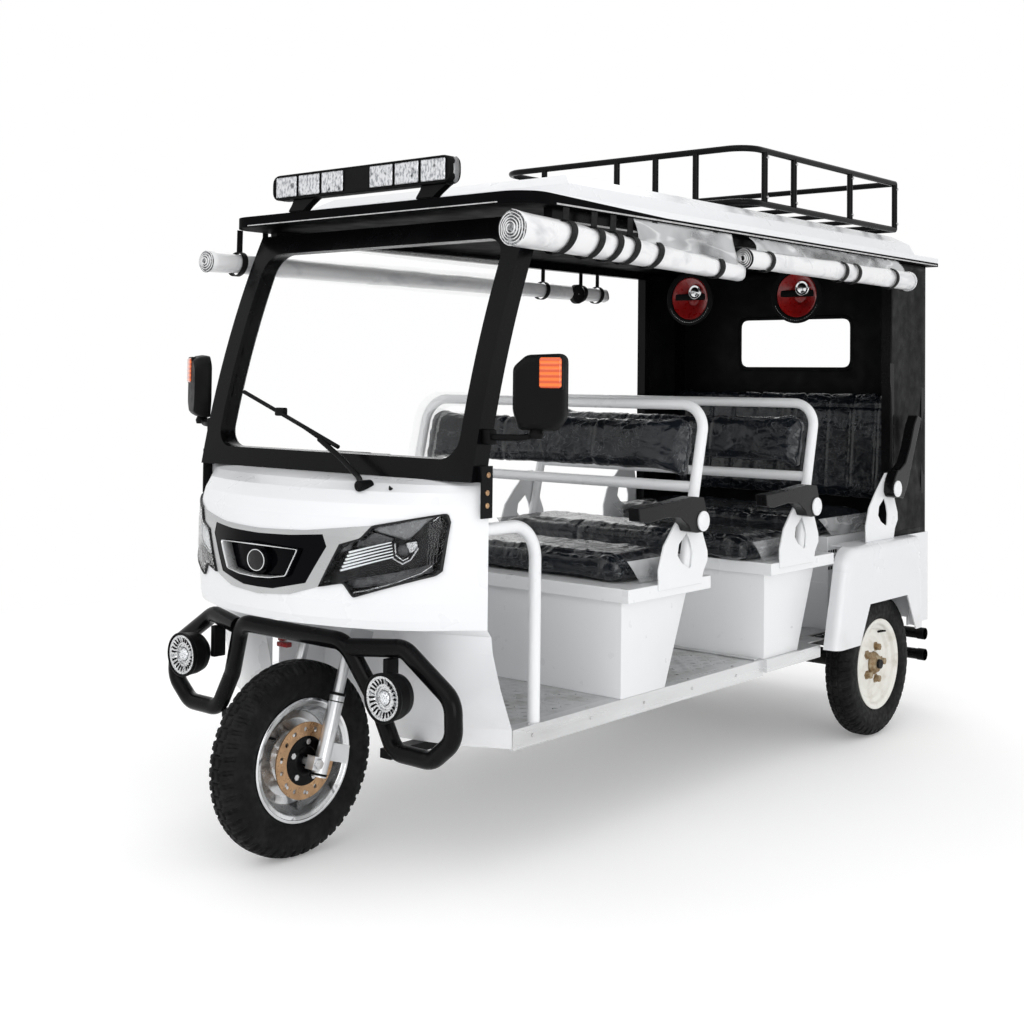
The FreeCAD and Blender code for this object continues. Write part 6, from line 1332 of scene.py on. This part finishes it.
class BOXES_OT_make(Operator):
    """Round the seat boxes' sheet edges and add their lids' tabs, seams, vents and nosing strip"""
    bl_idname = "rickshaw.boxes"
    bl_label = "Seat boxes"

    def execute(self, context):
        for name in ("front", "middle", "rear"):
            softened_copy("seat_box_" + name, "box_" + name, "box_paint", 0.0025)
        details = []
        for node in ("seat_box_front", "seat_box_middle"):
            y = span(node)[0][1]
            details += [block((x - 0.0014, y + 0.1, 0.664), (x + 0.0014, y + 0.155, 0.668), 0.0008, 3)
                        for x in (0.5775, -0.5775)]
            details.append(block((-0.04, y - 0.0035, 0.69), (0.04, y + 0.001, 0.7085), 0.0012, 3))
        low, high = span("seat_box_rear")
        details += [block((high[0] - 0.001, low[1] + 0.006, 0.56), (high[0] + 0.0012, high[1] - 0.02, 0.5635),
                          0.0005, 3),
                    block((low[0] + 0.02, low[1] - 0.0012, 0.56), (high[0] - 0.004, low[1] + 0.001, 0.5635),
                          0.0005, 3)]
        piece("box_details", details, "box_paint")
        vents = [block((high[0] - 0.002, y, z), (high[0] + 0.0008, y + 0.0125, z + 0.0125), 0.0004, 2)
                 for z in 0.612 + 0.02 * np.arange(4) for y in low[1] + 0.004 + 0.018 * np.arange(4)]
        piece("box_vents", vents, "black_plastic")
        y = span("seat_box_middle")[0][1]
        piece("nosing_strip", [block((-0.566, y - 0.03, 0.3882), (0.566, y - 0.0005, 0.3925), 0.0014, 4)],
              "sill_metal")
        return {"FINISHED"}


# Body details

class DECK_OT_make(Operator):
    """Raise the treads of the checker plate and set the sills' rivets"""
    bl_idname = "rickshaw.deck"
    bl_label = "Floor treads and rivets"

    def execute(self, context):
        pitch, half, wide, tall = 0.031, 0.0125, 0.0036, 0.0013
        x, y = np.meshgrid(np.arange(-0.522, 0.523, pitch), np.arange(-1.06, 0.85, pitch), indexing="ij")
        turn = math.radians(45) * (np.indices(x.shape).sum(0) % 2 * 2 - 1)
        free = (np.abs(x) >= 0.25) | (y >= -0.995)
        free &= (np.abs(np.abs(x) - 0.553) >= 0.04) | (np.abs(y + 0.968) >= 0.04)
        for start, stop in ((-0.6, -0.365), (0.205, 0.45)):
            free &= (y < start - 0.012) | (y > stop + 0.012)
        x, y, turn = (values[free][:, None] for values in (x, y, turn))
        across, along, up = np.array([(-half, 0, 0), (0, -wide, 0), (half, 0, 0), (0, wide, 0),
                                      (-half / 2, 0, tall), (half / 2, 0, tall)]).T
        points = np.stack([x + across * np.cos(turn) - along * np.sin(turn),
                           y + across * np.sin(turn) + along * np.cos(turn), 0.3881 + up + 0 * x], -1)
        plan = ((0, 1, 4), (1, 5, 4), (1, 2, 5), (2, 3, 5), (3, 4, 5), (3, 0, 4), (3, 2, 1, 0))
        faces = [[corner + 6 * k for corner in face] for k in range(len(x)) for face in plan]
        piece("deck_treads", [(points, faces)], "bright_deck", sharp=20)
        rivets = []
        for place in np.arange(-1.0, 0.56, 0.26):
            rivets += [lathe([(0, 0), (0, 0.006), (0.0014, 0.0052), (0.0024, 0.0028), (0.0028, 0)],
                             (0.561, place, 0.388), "z", 14),
                       lathe([(0, 0), (0, 0.005), (0.0012, 0.0044), (0.0022, 0)], (0.5765, place, 0.361), "x", 14)]
        piece("sill_rivets", rivets + [mirrored(rivet) for rivet in rivets], "steel")
        return {"FINISHED"}


class CANVAS_OT_make(Operator):
    """Hang the black canvas round the rear seat, with its window hole, seams and wrinkles"""
    bl_idname = "rickshaw.canvas"
    bl_label = "Rear canvas"

    def execute(self, context):
        low, high = span("rear_canvas")
        wide, back, start, corner = high[0] - 0.0018, high[1] - 0.0018, low[1], 0.014
        turn = np.linspace(0, TAU / 4, 7)[1:-1]
        side = np.stack([np.full(22, wide), np.linspace(start, back - corner, 22)], 1)
        bend = np.stack([wide - corner + corner * np.cos(turn), back - corner + corner * np.sin(turn)], 1)
        rear = np.concatenate([np.linspace(wide - corner, 0.262, 18), np.linspace(0.262, -0.262, 36)[1:-1],
                               np.linspace(-0.262, -wide + corner, 18)])
        rear = np.stack([rear, np.full(len(rear), back)], 1)
        path = np.concatenate([side, bend, rear, bend[::-1] * (-1, 1), side[::-1] * (-1, 1)])
        levels = np.concatenate([np.linspace(low[2], 1.374, 34), np.linspace(1.374, 1.582, 14)[1:-1],
                                 np.linspace(1.582, high[2], 12)])
        z, x = np.meshgrid(levels, path[:, 0], indexing="ij")
        y = path[:, 1] + 0 * z
        on_back = np.abs(y - back) < 1e-6
        fold = creases(np.stack([x, y, z], -1), 0.22, (1.0, 1.0, 2.6), 5) * 0.006
        sag = 0.006 * np.sin(math.pi * np.clip((z - low[2]) / (high[2] - low[2]), 0, 1)) * np.where(
            on_back, np.abs(np.sin(x * 5.2)), np.sin(math.pi * (y - start) / (back - start)))
        hold = np.clip(np.minimum(z - low[2], high[2] - z) / 0.05, 0, 1)
        near_window = on_back & (np.abs(x) < 0.3) & (z > 1.34) & (z < 1.62)
        inward = (fold + sag) * hold * np.where(near_window, 0.1, 1.0)
        cloth = np.stack([x - np.where(on_back, 0, np.sign(x) * inward), y - np.where(on_back, inward, 0), z],
                         -1).reshape(-1, 3)
        faces = np.array(grid_faces(*x.shape))
        x, y, z = cloth[faces].mean(1).T
        hole = (np.abs(x) < 0.2615) & (z > 1.3745) & (z < 1.5815) & (y > 1.4)
        wall = piece("canvas_wall", [(cloth, faces[~hole].tolist())], "canvas", node="rear_canvas", sharp=70,
                     wall=0.003)
        outline = soft_corners([(-0.268, 1.368), (0.268, 1.368), (0.268, 1.588), (-0.268, 1.588)], 0.044, 8)
        border = pipe(np.insert(outline, 1, high[1] - 0.003, 1), 0.0085, 12, True)
        border[0][..., 1] = (border[0][..., 1] - high[1] + 0.003) * 0.34 + high[1] - 0.003
        seams = []
        for side in (1, -1):
            for z in (0.733, 1.77):
                seams += [block((-0.575, high[1] - 0.004, z - 0.01), (0.575, high[1] + 0.0002, z + 0.01), 0.0014, 3),
                          block((side * 0.5905 - 0.0022, start + 0.004, z - 0.01),
                                (side * 0.5905 + 0.0036, back - 0.02, z + 0.01), 0.0014, 3)]
            seams.append(block((side * 0.4 - 0.012, high[1] - 0.004, 0.735),
                               (side * 0.4 + 0.012, high[1] + 0.0004, 1.768), 0.0014, 3))
        hem = piece("canvas_hems", [border] + seams, "canvas")
        return {"FINISHED"}


class TAIL_OT_make(Operator):
    """Make the tail lamps with three lenses each, and the bumper's rubber ends"""
    bl_idname = "rickshaw.tail_lamps"
    bl_label = "Tail lamps"

    def execute(self, context):
        (_, y0, z0), (x1, y1, z1) = span("tail_lamps")
        x0, tall = 0.492, (z1 - z0) / 3
        back = block((x0 - 0.003, y0, z0 - 0.003), (x1 + 0.003, y0 + 0.009, z1 + 0.003), 0.002, 4)
        lenses = [(*block((x0, y0 + 0.006, z0 + tall * k + 0.0006), (x1, y1, z0 + tall * (k + 1) - 0.0006), 0.004, 4),
                   k) for k in range(3)]
        pair("tail_base", [back], "black_plastic", "tail_lamps")
        pair("tail_lens", lenses, ["amber_lens", "white_lens", "red_lens"], slot="red_lens")
        x, y, _ = span("rear_bumper")[1]
        ends = [lathe([(-0.03, 0.0221), (-0.03, 0.0238), (0.001, 0.0238), (0.001, 0)], (x - 0.001, y - 0.022, z),
                      "x", 28, 0.0015) for z in (0.205, 0.29)]
        piece("bumper_ends", ends + [mirrored(end) for end in ends], "black_plastic")
        return {"FINISHED"}


class RACK_OT_make(Operator):
    """Set the small bolts of the roof rack, the visor's edge strip, which is a painted highlight along its front, and
    the roof's side strips
    """
    bl_idname = "rickshaw.rack"
    bl_label = "Rack bolts and roof trim"

    def execute(self, context):
        # The first strip is a thin steel strip along the visor's front: a painted highlight.
        heads, edge = [], [block((-0.52, -1.104, 1.785), (0.52, -1.1015, 1.7885), 0.0008, 3)]
        for side in (1, -1):
            heads += [prism(hexagon(0.006) + [0.152 + 1.12 * share, z], side * 0.5505, side * 0.5545)
                      for share in (0.1, 0.28, 0.66, 1) for z in (1.94, 2.078)]
            heads += [prism(hexagon(0.008)[:, ::-1] + [side * 0.405, y], 1.9012, 1.906, "z") for y in (0.264, 1.16)]
            edge.append(block((side * 0.6245 - 0.0016, -0.98, 1.7845), (side * 0.6245 + 0.0016, 1.48, 1.7895),
                              0.0008, 3))
        piece("rack_bolts", heads, "steel")
        piece("roof_edge_strip", edge, "steel")
        return {"FINISHED"}


class FRAME_OT_dress(Operator):
    """Give every CAD node that keeps its shape its finish"""
    bl_idname = "rickshaw.frame_finishes"
    bl_label = "Finishes of the frame"

    def execute(self, context):
        for look, nodes in KEPT.items():
            for node in nodes:
                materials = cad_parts[node].data.materials
                materials.clear()
                materials.append(finish(look))
        return {"FINISHED"}


# Studio

def floor_look():
    """Pale floor that keeps the shadow, lifted a little for the camera and plain white away from the vehicle.

    The share of white grows from 0 at 1.9 m from the middle to 1 at 4.2 m, for camera, glossy and clear rays.
    """
    look = Finish("studio_floor", "floor", 0.85, specular=0.1)
    look.rough(look.noise(2, 2), 0.8, 0.9)
    path = look.node("LightPath").outputs
    seen = look.maths("MAXIMUM", look.maths("MAXIMUM", path["Is Camera Ray"], path["Is Glossy Ray"]),
                      path["Is Transmission Ray"])
    lift = look.node("Emission", {"Strength": look.product(seen, 0.16)})
    near = look.node("AddShader", {0: look.shader.outputs["BSDF"], 1: lift.outputs["Emission"]})
    away = look.node("VectorMath", {0: look.place}, operation="LENGTH").outputs["Value"]
    mix = look.node("MixShader", {0: look.product(seen, look.ranged(away, 1.9, 4.2)), 1: near.outputs["Shader"],
                                  2: look.node("Emission").outputs["Emission"]})
    look.tree.links.new(mix.outputs["Shader"], look.tree.nodes["Material Output"].inputs["Surface"])
    return look.material


def placed(name, data):
    """A new object in the scene's own collection."""
    thing = bpy.data.objects.new(name, data)
    bpy.context.scene.collection.objects.link(thing)
    return thing


class STUDIO_OT_make(Operator):
    """Lay the pale floor, light it softly and set the camera at the photograph's angle"""
    bl_idname = "rickshaw.studio"
    bl_label = "Studio"

    def execute(self, context):
        scene = context.scene
        scene.view_settings.view_transform = "Standard"
        sizes = scene.rickshaw_studio
        floor = placed("studio_floor", bpy.data.meshes.new("studio_floor"))
        floor.data.from_pydata([(-14, -14, 0), (14, -14, 0), (14, 14, 0), (-14, 14, 0)], [], [[0, 1, 2, 3]])
        floor.data.materials.append(floor_look())
        for name, place, height, power, size in (("key", (1.2, -6.5, 5.2), 0.9, sizes.key, 5.0),
                                                 ("fill", (5.8, -3.9, 1.9), 0.7, sizes.fill, 3.6),
                                                 ("back", (-4.5, 5.0, 4.5), 1.0, sizes.fill * 0.8, 4.5)):
            lamp = bpy.data.lights.new(name, "AREA")
            lamp.energy, lamp.size = power, size
            thing = placed(name, lamp)
            thing.location = place
            aim = Vector((0, 0, height)) - Vector(place)
            thing.rotation_euler = aim.to_track_quat("-Z", "Y").to_euler()
        scene.world = bpy.data.worlds.new("studio_sky")
        scene.world.use_nodes = True
        tree = scene.world.node_tree
        path, seen, level = (tree.nodes.new("ShaderNode" + kind) for kind in ("LightPath", "Math", "MapRange"))
        seen.operation = "MAXIMUM"
        for socket, ray in enumerate(("Is Camera Ray", "Is Transmission Ray")):
            tree.links.new(path.outputs[ray], seen.inputs[socket])
        level.inputs["To Min"].default_value = sizes.sky
        tree.links.new(seen.outputs[0], level.inputs["Value"])
        tree.links.new(level.outputs["Result"], tree.nodes["Background"].inputs["Strength"])
        tree.nodes["Background"].inputs["Color"].default_value = (1, 1, 1, 1)
        camera = bpy.data.cameras.new("camera")
        camera.lens, camera.sensor_width, camera.shift_y, camera.clip_end = 49.67, 36.0, -0.1707, 60
        scene.camera = placed("camera", camera)
        turn, tip, roll = (math.radians(value) for value in (40.25, 1.68, 0.62))
        ahead = Vector((-math.sin(turn) * math.cos(tip), math.cos(turn) * math.cos(tip), math.sin(tip)))
        side = Vector((math.cos(turn), math.sin(turn), 0))
        up = side.cross(ahead)
        across = math.cos(roll) * side + math.sin(roll) * up
        above = -math.sin(roll) * side + math.cos(roll) * up
        scene.camera.matrix_world = Matrix((across, above, -ahead)).transposed().to_4x4()
        scene.camera.location = (2.988, -3.9515, 1.314)
        return {"FINISHED"}


class RICKSHAW_PT_panel(Panel):
    """Lists the makers in the order in which they run"""
    bl_label = "Rickshaw"
    bl_space_type = "VIEW_3D"
    bl_region_type = "UI"
    bl_category = "Rickshaw"

    def draw(self, context):
        for group in GROUPS:
            settings = getattr(context.scene, group)
            for prop in settings.__annotations__:
                self.layout.prop(settings, prop)
        for maker in MAKERS:
            self.layout.operator(maker.bl_idname)


GROUPS = {"rickshaw_colours": RickshawColours, "rickshaw_wheels": WheelSizes, "rickshaw_seats": SeatSizes,
          "rickshaw_studio": StudioSizes}
MAKERS = [STUDIO_OT_make, FRAME_OT_dress, TYRES_OT_make, RIMS_OT_make, FORK_OT_make, LAMPS_OT_make, GRILLE_OT_make,
          FOG_OT_make, LAMPBAR_OT_make, SPEAKERS_OT_make, CURTAINS_OT_make, MIRRORS_OT_make, CAB_OT_make,
          ARMRESTS_OT_make, CUSHIONS_OT_make, BACKS_OT_make, FILM_OT_make, BOXES_OT_make, DECK_OT_make,
          CANVAS_OT_make, TAIL_OT_make, RACK_OT_make]


def register():
    for kind in [*GROUPS.values(), *MAKERS, RICKSHAW_PT_panel]:
        bpy.utils.register_class(kind)
    for name, kind in GROUPS.items():
        setattr(bpy.types.Scene, name, PointerProperty(type=kind))


def unregister():
    for name in GROUPS:
        delattr(bpy.types.Scene, name)
    for kind in reversed([*GROUPS.values(), *MAKERS, RICKSHAW_PT_panel]):
        bpy.utils.unregister_class(kind)


def main():
    """Register and run each maker in order."""
    register()
    for maker in MAKERS:
        call = getattr(bpy.ops.rickshaw, maker.bl_idname.split(".")[1])
        if call() != {"FINISHED"}:
            raise RuntimeError(maker.bl_label + " did not finish")


if __name__ == "__main__":
    main()
